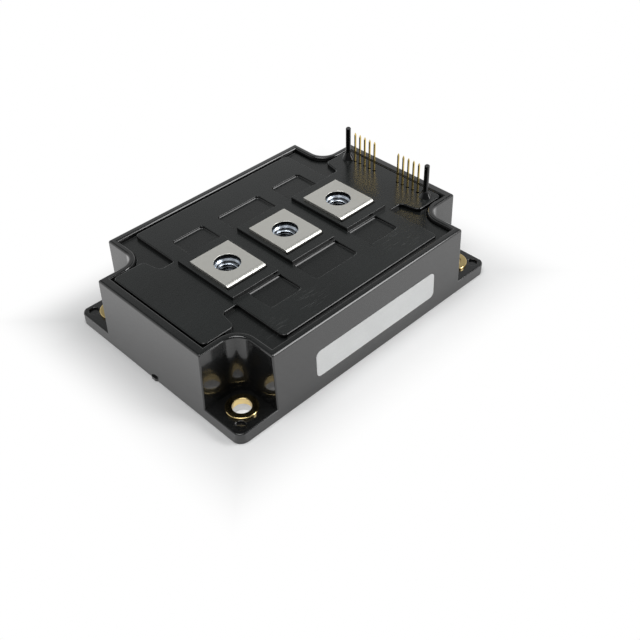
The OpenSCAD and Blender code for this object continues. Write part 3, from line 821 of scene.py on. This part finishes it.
@dataclass
class EdgeFacts:
    """What a rounding rule may ask of each edge: its middle, direction, fold and whether it stands out."""

    middle: np.ndarray
    along: np.ndarray
    fold: np.ndarray
    convex: np.ndarray

    @classmethod
    def of(cls, mesh: bpy.types.Mesh) -> "EdgeFacts":
        """Works out the facts of every edge as whole arrays.

        The fold is the angle between the two faces' normals. An edge is convex where the second face's
        normal points away from the first face, which lies on the side normal x edge.

        Args:
            mesh: A closed mesh.

        Returns:
            The facts, with lengths in millimetres and angles in degrees.
        """
        points = read(mesh.vertices, "co", np.float32, 3).astype(float) / MM
        ends = read(mesh.edges, "vertices", np.int32, 2)
        normals = read(mesh.polygons, "normal", np.float32, 3).astype(float)
        loop_edge = read(mesh.loops, "edge_index", np.int32)
        loop_point = read(mesh.loops, "vertex_index", np.int32)
        loop_face = np.repeat(np.arange(len(mesh.polygons)), read(mesh.polygons, "loop_total", np.int32))
        order = np.argsort(loop_edge, kind="stable")
        first = np.searchsorted(loop_edge[order], np.arange(len(ends)))
        pair = np.minimum(first + 1, len(order) - 1)
        one, two = order[first], order[pair]
        start = loop_point[one]
        other = np.where(ends[:, 0] == start, ends[:, 1], ends[:, 0])
        run = points[other] - points[start]
        inward = np.cross(normals[loop_face[one]], run)
        toward = np.einsum("ij,ij->i", inward, normals[loop_face[two]])
        dots = np.einsum("ij,ij->i", normals[loop_face[one]], normals[loop_face[two]])
        length = np.maximum(np.linalg.norm(run, axis=1, keepdims=True), 1e-9)
        return cls(
            middle=points[ends].mean(axis=1),
            along=run / length,
            fold=np.degrees(np.arccos(np.clip(dots, -1, 1))),
            convex=toward < 0,
        )


def rounded_copy(
    node: str, name: str, rule: Callable[[EdgeFacts], np.ndarray], flat_deg: float = 0.6, segments: int = 4
) -> bpy.types.Object:
    """Copies a CAD node, joins its triangles into whole faces and rounds the edges that a rule picks.

    Args:
        node: The CAD node.
        name: The new piece's name.
        rule: Gives each edge's rounding radius in millimetres, zero for a sharp edge.
        flat_deg: Faces that differ by less become one.
        segments: Faces across each rounding.

    Returns:
        The new piece, rounded and with its normals set.
    """
    mesh = bpy.data.meshes.new(name)
    work = bmesh.new()
    work.from_mesh(frame["nodes"][node].data)
    bmesh.ops.remove_doubles(work, verts=work.verts, dist=2e-6)
    bmesh.ops.dissolve_limit(work, angle_limit=math.radians(flat_deg), verts=work.verts, edges=work.edges)
    bmesh.ops.recalc_face_normals(work, faces=work.faces)
    work.to_mesh(mesh)
    work.free()
    stale = mesh.attributes.get("custom_normal")
    if stale:
        mesh.attributes.remove(stale)
    mesh.update()
    facts = EdgeFacts.of(mesh)
    width = np.where(facts.fold > 30.0, rule(facts), 0.0)
    weight = mesh.attributes.new("bevel_weight_edge", "FLOAT", "EDGE")
    weight.data.foreach_set("value", width.astype(np.float32))
    piece = put_in_scene(mesh, name)
    bevel = piece.modifiers.new("rounding", "BEVEL")
    bevel.limit_method = "WEIGHT"
    bevel.offset_type = "OFFSET"
    bevel.width = MM
    bevel.segments = segments
    bevel.use_clamp_overlap = False
    bevel.miter_outer = "MITER_ARC"
    settle(piece)
    return piece


def settle(piece: bpy.types.Object) -> None:
    """Applies a piece's modifiers and gives it normals that keep flat faces flat.

    Args:
        piece: The piece, changed in place.
    """
    graph = bpy.context.evaluated_depsgraph_get()
    mesh = bpy.data.meshes.new_from_object(piece.evaluated_get(graph))
    piece.modifiers.clear()
    piece.data = mesh
    mesh.name = piece.name
    soften(mesh)


def soften(mesh: bpy.types.Mesh, limit_deg: float = 38.0) -> None:
    """Sets each face corner's normal from the faces around its point.

    The normal is the sum of the normals of the faces round the point that lie within the limit of the
    corner's own face, each times its area. So a wide flat face stays flat, a rounding runs smoothly into it,
    and what folds by more than the limit stays crisp.

    Args:
        mesh: The mesh, changed in place.
        limit_deg: Largest angle across which faces blend.
    """
    mesh.shade_smooth()
    corners = len(mesh.loops)
    point = read(mesh.loops, "vertex_index", np.int32)
    face = np.repeat(np.arange(len(mesh.polygons)), read(mesh.polygons, "loop_total", np.int32))
    normal = read(mesh.polygons, "normal", np.float32, 3).astype(float)[face]
    area = read(mesh.polygons, "area", np.float32).astype(float)[face]
    order = np.argsort(point, kind="stable")
    count = np.bincount(point, minlength=len(mesh.vertices))
    start = np.concatenate([[0], np.cumsum(count)[:-1]])
    each = count[point]
    mine = np.repeat(np.arange(corners), each)
    step = np.arange(each.sum()) - np.repeat(np.cumsum(each) - each, each)
    other = order[start[point[mine]] + step]
    close = np.einsum("ij,ij->i", normal[mine], normal[other]) > math.cos(math.radians(limit_deg))
    total = np.zeros((corners, 3))
    np.add.at(total, mine, normal[other] * (area[other] * close)[:, None])
    total /= np.linalg.norm(total, axis=1, keepdims=True)
    mesh.normals_split_custom_set(total.tolist())


def finish_piece(piece: bpy.types.Object, slot: str, finish: Finish, *nodes: str) -> None:
    """Rides a new piece on the root, lets it stand for its CAD nodes and dresses it.

    Args:
        piece: The new piece.
        slot: Its material slot; not used.
        finish: Its finish.
        nodes: The CAD nodes that it replaces.
    """
    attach(piece, "root")
    if nodes:
        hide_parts(*nodes)
    finish.dress(piece)
    LOG.info("%s stands for %s", piece.name, ", ".join(nodes) or "nothing")


def lies_at(height: np.ndarray, level: float) -> np.ndarray:
    """Whether heights lie at a level, to 0.05 mm."""
    return np.abs(height - level) < 0.05


# Sub-assemblies


@dataclass
class Housing:
    """Case and lid, both black mouldings whose edges get their roundings here."""

    case_node: str = "case_frame"
    lid_node: str = "lid"
    notch_l: float = 16.5
    notch_w: float = 17.2
    notch_r: float = 6.0
    draft: float = 0.8
    ear_h: float = 4.5
    rim_z: float = 28.0
    bay_z: float = 26.5
    block_z: float = 29.4
    pocket_z: float = 27.1
    rim_round: float = 0.85
    seat_round: float = 0.65
    wall_round: float = 0.6
    ear_round: float = 0.45
    dimple_round: float = 0.25
    panel_round: float = 0.55
    border_round: float = 0.4
    brim_round: float = 0.1
    pocket_round: float = 0.3
    block_round: float = 0.2
    pocket_foot: float = 0.76
    pitch: float = 27.0
    block_half: tuple[float, float] = (10.35, 14.5)
    pocket_reach: tuple[float, float] = (37.6, 26.3)
    pocket_start_y: float = 16.0
    end_from: tuple[float, float] = (46.0, 24.6)
    pin_row_x: float = 53.4
    posts_y: float = 20.05
    post_reach: float = 3.0
    ear_corner_r: float = 3.5
    dimple_in: float = 3.8
    dimple_reach: float = 2.2
    lug: float = 0.6
    half: np.ndarray = field(init=False)

    def __post_init__(self) -> None:
        """Works out the case's half sizes: the part's own, less the lug that stands out on one side."""
        body = np.array(frame["record"]["size"]["bbox_m"][:2]) / MM
        self.half = np.array([body[0] - self.lug, body[1]]) / 2
        LOG.info("case half sizes %s mm", self.half)

    def notch_depth(self, x: np.ndarray, y: np.ndarray) -> np.ndarray:
        """How far a point lies inside the nearest corner notch.

        With q measured inwards from the notch's two walls, the value is r - |max(r - q, 0)|: zero on the
        walls and on the fillet between them, negative outside the notch.

        Args:
            x: Places along X, in millimetres.
            y: Places along Y, in millimetres.

        Returns:
            The depth of each point, in millimetres.
        """
        qx = np.abs(x) - (self.half[0] - self.notch_l)
        qy = np.abs(y) - (self.half[1] - self.notch_w)
        r = self.notch_r
        return r - np.hypot(np.maximum(r - qx, 0), np.maximum(r - qy, 0))

    def case_rule(self, facts: EdgeFacts) -> np.ndarray:
        """Rounding of each edge of the case.

        Args:
            facts: The case's edges.

        Returns:
            Radii in millimetres.
        """
        x, y, z = facts.middle.T
        lean = self.draft * z / self.rim_z
        to_side = np.minimum(self.half[0] - lean - np.abs(x), self.half[1] - lean - np.abs(y))
        notch = self.notch_depth(x, y)
        outer = np.minimum(to_side, -notch) < 0.1
        upright = np.abs(facts.along[:, 2]) > 0.9
        radius = np.zeros(len(x))
        radius = np.where((z > self.rim_z - 0.1) & outer, self.rim_round, radius)
        radius = np.where((z > self.rim_z - 0.1) & ~outer, self.seat_round, radius)
        corner = upright & facts.convex & outer & (z > self.ear_h + 1) & (to_side < 0.3)
        radius = np.where(corner, self.wall_round, radius)
        ear_top = lies_at(z, self.ear_h) & facts.convex
        on_edge = self.ear_edge(x, y) < 0.3
        radius = np.where(ear_top & on_edge & (notch > 0.2), self.ear_round, radius)
        return np.where(ear_top & self.dimple(x, y), self.dimple_round, radius)

    def ear_edge(self, x: np.ndarray, y: np.ndarray) -> np.ndarray:
        """Distance in from the case's outer edge, with the ears' corners rounded.

        With q measured inwards from the two sides, it is r - |max(r - q, 0)| near a corner of radius r.

        Args:
            x: Places along X, in millimetres.
            y: Places along Y, in millimetres.

        Returns:
            The distance of each point, up to the radius.
        """
        r = self.ear_corner_r
        qx = self.half[0] - np.abs(x)
        qy = self.half[1] - np.abs(y)
        return r - np.hypot(np.maximum(r - qx, 0), np.maximum(r - qy, 0))

    def dimple(self, x: np.ndarray, y: np.ndarray) -> np.ndarray:
        """Whether a point lies on the rim of the round dimple by each ear's corner.

        Args:
            x: Places along X, in millimetres.
            y: Places along Y, in millimetres.

        Returns:
            True for each point within reach of a dimple's centre.
        """
        out_x = np.abs(x) - (self.half[0] - self.dimple_in)
        out_y = np.abs(y) - (self.half[1] - self.dimple_in)
        return np.hypot(out_x, out_y) < self.dimple_reach

    def lid_rule(self, facts: EdgeFacts) -> np.ndarray:
        """Rounding of each edge of the lid.

        A later line of the rule takes the place of an earlier one: panels' tops, then the edges round blocks
        and pockets, the blocks, the lid's border, and the pockets' feet.

        Args:
            facts: The lid's edges.

        Returns:
            Radii in millimetres.
        """
        x, y, z = facts.middle.T
        upright = np.abs(facts.along[:, 2]) > 0.9
        by_post = np.hypot(x - self.pin_row_x, np.abs(y) - self.posts_y) < self.post_reach
        by_pins = by_post | (np.abs(x - self.pin_row_x) < 1.0) & (np.abs(y) < self.posts_y)
        by_blocks = (np.abs(x) < self.pocket_reach[0]) & (np.abs(y) < self.pocket_reach[1])
        end = (np.abs(x) > self.end_from[0]) & (np.abs(y) < self.end_from[1])
        top = lies_at(z, self.rim_z) & facts.convex
        border = lies_at(z, self.bay_z) & facts.convex & ~end
        block = facts.convex & self.on_block(x, y)
        block &= lies_at(z, self.block_z) | upright & (z > self.rim_z)
        radius = np.zeros(len(x))
        radius = np.where(top & ~by_pins, self.panel_round, radius)
        radius = np.where(top & by_blocks, self.brim_round, radius)
        radius = np.where(top & by_blocks & (np.abs(y) > self.pocket_start_y), self.pocket_round, radius)
        radius = np.where(block, self.block_round, radius)
        radius = np.where(border, self.border_round, radius)
        return np.where(lies_at(z, self.pocket_z) & ~facts.convex, self.pocket_foot, radius)

    def on_block(self, x: np.ndarray, y: np.ndarray) -> np.ndarray:
        """Whether a point lies on the outline of one of the three terminal blocks.

        Args:
            x: Places along X, in millimetres.
            y: Places along Y, in millimetres.

        Returns:
            True for each point on an outline.
        """
        local = np.abs(x - self.pitch * np.round(np.clip(x / self.pitch, -1, 1)))
        out_x, out_y = local - self.block_half[0], np.abs(y) - self.block_half[1]
        return np.abs(np.maximum(out_x, out_y)) < 0.1

    def build(self) -> None:
        """Builds and dresses case and lid."""
        case = rounded_copy(self.case_node, "moulded_case", self.case_rule)
        finish_piece(case, "case_plastic", CASE_BLACK, self.case_node)
        lid = rounded_copy(self.lid_node, "moulded_lid", self.lid_rule)
        finish_piece(lid, "lid_plastic", LID_BLACK, self.lid_node)


@dataclass
class Collets:
    """Four brass collets: a tube through the ear and a head with well rounded edges."""

    bore_r: float = 3.3
    wall: float = 1.0
    head_r: float = 5.6
    head_t: float = 1.0
    rim_round: float = 0.3
    steps: int = 96

    def profile(self, bottom: float, top: float) -> np.ndarray:
        """Section of a collet.

        Args:
            bottom: Height of its foot, in millimetres.
            top: Height of its head's top.

        Returns:
            Array of (r, z), in millimetres, closed from the last point to the first.
        """
        seat = top - self.head_t
        tube_r = self.bore_r + self.wall
        return rounded_profile([
            (self.bore_r, bottom, 0.05),
            (tube_r, bottom, 0.05),
            (tube_r, seat, 0.02),
            (self.head_r, seat, 0.1),
            (self.head_r, top, self.rim_round),
            (self.bore_r, top, 0.7 * self.rim_round),
        ])

    def build(self) -> None:
        """Builds one collet in each corner, in the place of its node."""
        for number in range(1, 5):
            low, high = (np.array(corner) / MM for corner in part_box(f"collet_{number}"))
            centre = (low + high) / 2
            points = revolve(self.profile(low[2], high[2]), centre, self.steps)
            piece = put_in_scene(grid_mesh("collet", points, wrap_rows=True), f"brass_collet_{number}")
            soften(piece.data)
            finish_piece(piece, "collet_brass", COLLET_BRASS, f"collet_{number}")


@dataclass
class Terminals:
    """Three plated straps with stamped edges, and the threaded nuts captive below them.

    Each nut's top lies lower than its node's by sunk.
    """

    strap_round: float = 0.18
    strap_z: float = 25.0
    flats: float = 13.0
    chamfer_deg: float = 60.0
    bore_r: float = 3.4
    thread_r: float = 4.0
    sink_r: float = 4.6
    sunk: float = 0.4
    pitch: float = 1.25
    steps: int = 144

    def strap_rule(self, facts: EdgeFacts) -> np.ndarray:
        """Every sharp edge of a strap above the lid is rounded as a stamped sheet's is."""
        return np.where(facts.convex & (facts.middle[:, 2] > self.strap_z), self.strap_round, 0.0)

    def nut_points(self, centre: np.ndarray, bottom: float, top: float) -> np.ndarray:
        """Closed surface of a nut: hexagon outside, thread inside.

        The section runs up the outside, in over the top and down a countersink, down the bore and out below.
        At angle a the outside lies at flats / 2 / cos(a mod 60 - 30), cut to a circle by the chamfers at both
        faces. The bore lies at bore_r + depth * wave(z / pitch - a / 360), where the wave is a flattened
        triangle, faded at both ends.

        Args:
            centre: The nut's axis, in millimetres.
            bottom: Height of its lower face.
            top: Height of its upper face.

        Returns:
            Array of shape (rows, steps, 3), in metres.
        """
        angle = np.linspace(0, 2 * np.pi, self.steps, endpoint=False)[None, :]
        fold = np.mod(angle, np.pi / 3) - np.pi / 6
        hexagon = self.flats / 2 / np.cos(fold)
        rim = self.flats / 2 * 0.99
        rise = np.linspace(0, 1, 9)[:, None]
        near_face = np.minimum(rise, 1 - rise) * (top - bottom)
        outside = np.minimum(hexagon, rim + near_face * math.tan(math.radians(self.chamfer_deg)))
        outside_z = bottom + rise * (top - bottom) + 0 * angle
        sink = self.sink_r - self.bore_r
        ledge = np.linspace(rim, self.sink_r, 4)[1:, None] + 0 * angle
        fall = np.linspace(0, 1, 61)[:, None]
        bore_z = top - sink - fall * (top - bottom - 2 * sink)
        wave = np.abs(np.mod(bore_z / self.pitch - angle / (2 * np.pi), 1.0) - 0.5) * 2
        fade = np.clip(np.minimum(fall, 1 - fall) * 12 + 0.35, 0, 1)
        depth = (self.thread_r - self.bore_r) * np.clip(wave * 1.3 - 0.15, 0, 1)
        bore = self.bore_r + depth * fade
        radius = np.concatenate([outside, ledge, bore, ledge[::-1]])
        height = np.concatenate([
            outside_z,
            np.full_like(ledge, top),
            bore_z + 0 * angle,
            np.full_like(ledge, bottom),
        ])
        x = centre[0] + radius * np.cos(angle)
        y = centre[1] + radius * np.sin(angle)
        return np.stack([x, y, height], axis=-1) * MM

    def build(self) -> None:
        """Builds straps and nuts, each in the place of its node."""
        for number in range(1, 4):
            node = f"terminal_{number}"
            strap = rounded_copy(node, f"plated_strap_{number}", self.strap_rule, segments=3)
            finish_piece(strap, "terminal_nickel", TERMINAL_NICKEL, node)
            low, high = (np.array(corner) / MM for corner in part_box(f"nut_{number}"))
            points = self.nut_points((low + high) / 2, low[2], high[2] - self.sunk)
            nut = put_in_scene(grid_mesh("nut", points, wrap_rows=True), f"threaded_nut_{number}")
            soften(nut.data)
            finish_piece(nut, "nut_zinc", NUT_ZINC, f"nut_{number}")


@dataclass
class SignalPins:
    """Ten square gold pins with rounded corners and four sided points."""

    count: int = 10
    corner_r: float = 0.07
    taper: float = 1.0
    tip_share: float = 0.22

    def points(self, low: np.ndarray, high: np.ndarray) -> np.ndarray:
        """Rounded square carried up the pin, its width given at each height.

        The width stays whole up to the taper. Along it, with t from 0 to 1, it falls by 0.85 t + 0.15 t^4 of
        what the tip's share leaves.

        Args:
            low: The pin's lowest corner, in millimetres.
            high: Its highest corner.

        Returns:
            Array of shape (rows, columns, 3), in metres.
        """
        half = (high[0] - low[0]) / 2
        centre = (low + high) / 2
        t = np.linspace(0, 1, 6)
        height = np.concatenate([[low[2], high[2] - self.taper - 0.05], high[2] - self.taper * (1 - t)])
        share = np.concatenate([[1.0, 1.0], 1 - (1 - self.tip_share) * (0.85 * t + 0.15 * t**4)])
        ring = rounded_square(half, half, self.corner_r, 4)
        x = centre[0] + share[:, None] * ring[:, 0]
        y = centre[1] + share[:, None] * ring[:, 1]
        return np.stack([x, y, np.broadcast_to(height[:, None], x.shape)], axis=-1) * MM

    def build(self) -> None:
        """Builds each pin in the place of its node."""
        for number in range(1, self.count + 1):
            low, high = (np.array(corner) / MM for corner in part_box(f"signal_pin_{number}"))
            mesh = grid_mesh("pin", self.points(low, high), caps=True)
            pin = put_in_scene(mesh, f"gold_pin_{number}")
            soften(pin.data)
            finish_piece(pin, "pin_gold", PIN_GOLD, f"signal_pin_{number}")


@dataclass
class Label:
    """Bare label on the long side: a thin rounded sheet that leans with the case's face."""

    corner_r: float = 2.0
    edge: float = 0.05
    lean: float = 0.8 / 27.8

    def build(self) -> None:
        """Builds the label in the place of its node.

        Rings of one rounded rectangle go from the middle out to the edge, over it and back to the face. A
        point at height z moves in by the face's lean.
        """
        low, high = (np.array(corner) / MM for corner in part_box("label"))
        half_l, half_h = (high[0] - low[0]) / 2, (high[2] - low[2]) / 2
        centre = (low + high) / 2
        thick = (high[1] - low[1]) - 2 * half_h * self.lean
        inset = np.array([half_h * 0.98, self.edge, 0.35 * self.edge, 0.0, 0.0])
        out = np.array([thick, thick, 0.8 * thick, 0.5 * thick, 0.0])
        rings = [rounded_square(half_l - d, half_h - d, max(self.corner_r - d, 0.02), 8) for d in inset]
        flat = np.stack(rings)
        z = centre[2] + flat[..., 1]
        y = high[1] - (high[2] - z) * self.lean - out[:, None]
        points = np.stack([centre[0] + flat[..., 0], y, z], axis=-1) * MM
        piece = put_in_scene(grid_mesh("label", points, caps=True), "grey_label")
        soften(piece.data)
        finish_piece(piece, "label_stock", LABEL_STOCK, "label")


@dataclass
class BasePlate:
    """Plated base plate with softly broken edges."""

    edge_round: float = 0.3

    def rule(self, facts: EdgeFacts) -> np.ndarray:
        """Outer edges and hole edges of the lower face are broken alike."""
        return np.where(facts.middle[:, 2] < 0.05, self.edge_round, 0.0)

    def build(self) -> None:
        """Builds the plate in the place of its node."""
        plate = rounded_copy("base_plate", "plated_base", self.rule, segments=3)
        finish_piece(plate, "base_nickel", BASE_NICKEL, "base_plate")


@dataclass
class Inside:
    """What the closed case holds: its CAD nodes stay and get their finishes."""

    finishes: dict[str, Finish] = field(default_factory=lambda: {
        "pin_header": EPOXY_BLACK,
        "control_board": BOARD_GREEN,
        "driver_circuit": EPOXY_BLACK,
        "capacitor": CAPACITOR_YELLOW,
        "chip_resistors": EPOXY_BLACK,
        "ceramic_tile": TILE_WHITE,
        "back_copper": TRACK_COPPER,
        "conductors": TRACK_COPPER,
        "igbt_chip": SILICON,
        "diode_chip": SILICON,
        "bond_ribbons": RIBBON_ALUMINIUM,
        "control_leads": PIN_GOLD,
        "silicone_gel": CLEAR_GEL,
    })

    def build(self) -> None:
        """Dresses each node by the first part of its name."""
        for name, node in frame["nodes"].items():
            for kind, finish in self.finishes.items():
                if name.startswith(kind):
                    finish.dress(node)
                    LOG.info("%s is dressed in %s", name, finish.name)


# Studio


@dataclass
class Lamp:
    """A rectangular softbox aimed at the module, its long side along a given direction."""

    name: str
    place: tuple[float, float, float]
    size: tuple[float, float]
    watts: float
    along: tuple[float, float, float] = (0.0, 1.0, 0.0)

    def build(self) -> None:
        """Hangs the lamp: it shines down its own Z axis, and its long side is the given direction."""
        data = bpy.data.lights.new(self.name, "AREA")
        data.shape = "RECTANGLE"
        data.size, data.size_y = self.size
        data.energy = self.watts
        back = Vector(self.place).normalized()
        side = Vector(self.along).cross(back).normalized()
        turn = Matrix((side, back.cross(side), back)).transposed().to_4x4()
        lamp = bpy.data.objects.new(self.name, data)
        lamp.matrix_world = Matrix.Translation(self.place) @ turn
        bpy.context.scene.collection.objects.link(lamp)


@dataclass
class Studio:
    """Pale floor, soft lamps and the camera at the photograph's angle."""

    camera_place: tuple[float, float, float] = (-0.17970, -0.20321, 0.22304)
    camera_aim: tuple[float, float, float] = (-0.012752, -0.029819, 0.014)
    camera_roll: float = -1.412
    lens: float = 52.268
    shift: tuple[float, float] = (0.0007, -0.0015)
    floor_half: float = 16.0
    fade: tuple[float, float] = (-0.002, 0.026)
    hole_at: tuple[float, float] = (0.0535, 0.035)
    hole_edge: tuple[float, float] = (0.004, 0.005)
    hole_painted_light: float = 0.55
    horizon: Colour = (0.68, 0.68, 0.68)
    zenith: Colour = (0.14, 0.15, 0.15)
    dim: Colour = (0.05, 0.05, 0.055)
    dim_side: tuple[float, float, float] = (-0.64, -0.68, 0.36)
    lamps: tuple[Lamp, ...] = (
        Lamp("overhead", (-0.30, -0.10, 1.2), (0.8, 0.8), 7.2),
        Lamp("strip", (0.64, -0.76, 0.66), (0.34, 1.1), 6.6, (0.0, 0.78, 0.63)),
    )

    def camera(self) -> None:
        """Sets up the camera: placed, aimed, then rolled about its own axis."""
        data = bpy.data.cameras.new("camera")
        data.lens = self.lens
        data.sensor_width = 36.0
        data.shift_x, data.shift_y = self.shift
        data.clip_start = 0.01
        camera = bpy.data.objects.new("camera", data)
        place = Vector(self.camera_place)
        turn = (Vector(self.camera_aim) - place).to_track_quat("-Z", "Y").to_matrix().to_4x4()
        roll = Matrix.Rotation(math.radians(self.camera_roll), 4, "Z")
        camera.matrix_world = Matrix.Translation(place) @ turn @ roll
        bpy.context.scene.collection.objects.link(camera)
        bpy.context.scene.camera = camera

    def floor(self) -> None:
        """Lays the floor: shaded near the module, and plain white further out where it is seen or mirrored.

        The shade goes over into white by how far a point lies outside the module's plan. Under the screw
        holes part of that white comes back as a painted light, in place of light that falls through them.
        """
        side = np.linspace(-self.floor_half, self.floor_half, 3)
        x, y = np.meshgrid(side, side)
        points = np.stack([x, y, 0 * x], axis=-1).reshape(-1, 3)
        index = np.arange(9).reshape(3, 3)
        quads = np.stack([index[:-1, :-1], index[:-1, 1:], index[1:, 1:], index[1:, :-1]], axis=-1)
        mesh = bpy.data.meshes.new("floor")
        mesh.from_pydata(points.tolist(), [], quads.reshape(-1, 4).tolist())
        floor = put_in_scene(mesh, "floor")
        bench = Paintwork("floor_white")
        bench.set(base_color=(0.93, 0.93, 0.93), roughness=0.9, specular_ior_level=0.0)
        path = bench.node("ShaderNodeLightPath", out="Is Camera Ray")
        rays = path.out.node.outputs
        seen = path.maths("MAXIMUM", path, Sock(bench, rays["Is Glossy Ray"]))
        seen = seen.maths("MAXIMUM", seen, Sock(bench, rays["Is Transmission Ray"]))
        x, y, _ = bench.parts()
        past_x = x.maths("ABSOLUTE", x) - CAD_BOX[1][0]
        past_y = y.maths("ABSOLUTE", y) - CAD_BOX[1][1]
        away = past_x.maths("MAXIMUM", past_x, past_y)
        # Painted light: a white glow on the floor under each screw hole.
        off_x = x.maths("ABSOLUTE", x) - self.hole_at[0]
        off_y = y.maths("ABSOLUTE", y) - self.hole_at[1]
        hole = ((off_x * off_x + off_y * off_y) ** 0.5).ramp(*self.hole_edge, self.hole_painted_light, 0.0)
        white = seen * (away.ramp(*self.fade) + hole)
        glow = bench.node("ShaderNodeEmission", sockets={"Color": (1.0, 1.0, 1.0), "Strength": 1.0})
        shaded = Sock(bench, bench.shader.outputs[0])
        mixed = bench.node("ShaderNodeMixShader", sockets={0: white, 1: shaded, 2: glow})
        output = next(n for n in bench.tree.nodes if n.type == "OUTPUT_MATERIAL")
        bench.feed(output.inputs["Surface"], mixed)
        floor.data.materials.append(bench.material)

    def world(self) -> None:
        """Gives the world a soft sky: pale at the horizon, dim overhead, dimmer still towards one side."""
        world = bpy.data.worlds.new("studio")
        world.use_nodes = True
        bench = Bench(world.node_tree)
        way = bench.node("ShaderNodeTexCoord", out="Generated")
        height = bench.node("ShaderNodeSeparateXYZ", sockets={0: way}, out="Z")
        sides = {0: way, 1: self.dim_side}
        toward = bench.node("ShaderNodeVectorMath", {"operation": "DOT_PRODUCT"}, sides, "Value")
        sky = bench.blend(height.ramp(0.44, 0.72), self.horizon, self.zenith)
        colour = bench.blend(toward.ramp(0.1, 0.8, 0.0, 0.85), sky, self.dim)
        bench.feed(world.node_tree.nodes["Background"].inputs["Color"], colour)
        bpy.context.scene.world = world

    def build(self) -> None:
        """Sets up floor, sky, lamps and camera."""
        self.floor()
        self.world()
        for lamp in self.lamps:
            lamp.build()
        self.camera()
        bpy.context.scene.view_settings.view_transform = "Standard"


def main() -> None:
    """Builds every sub-assembly and the studio."""
    logging.basicConfig(level=logging.INFO, format="%(name)s: %(message)s")
    for part in (Housing(), Collets(), Terminals(), SignalPins(), Label(), BasePlate(), Inside(), Studio()):
        part.build()


if __name__ == "__main__":
    main()
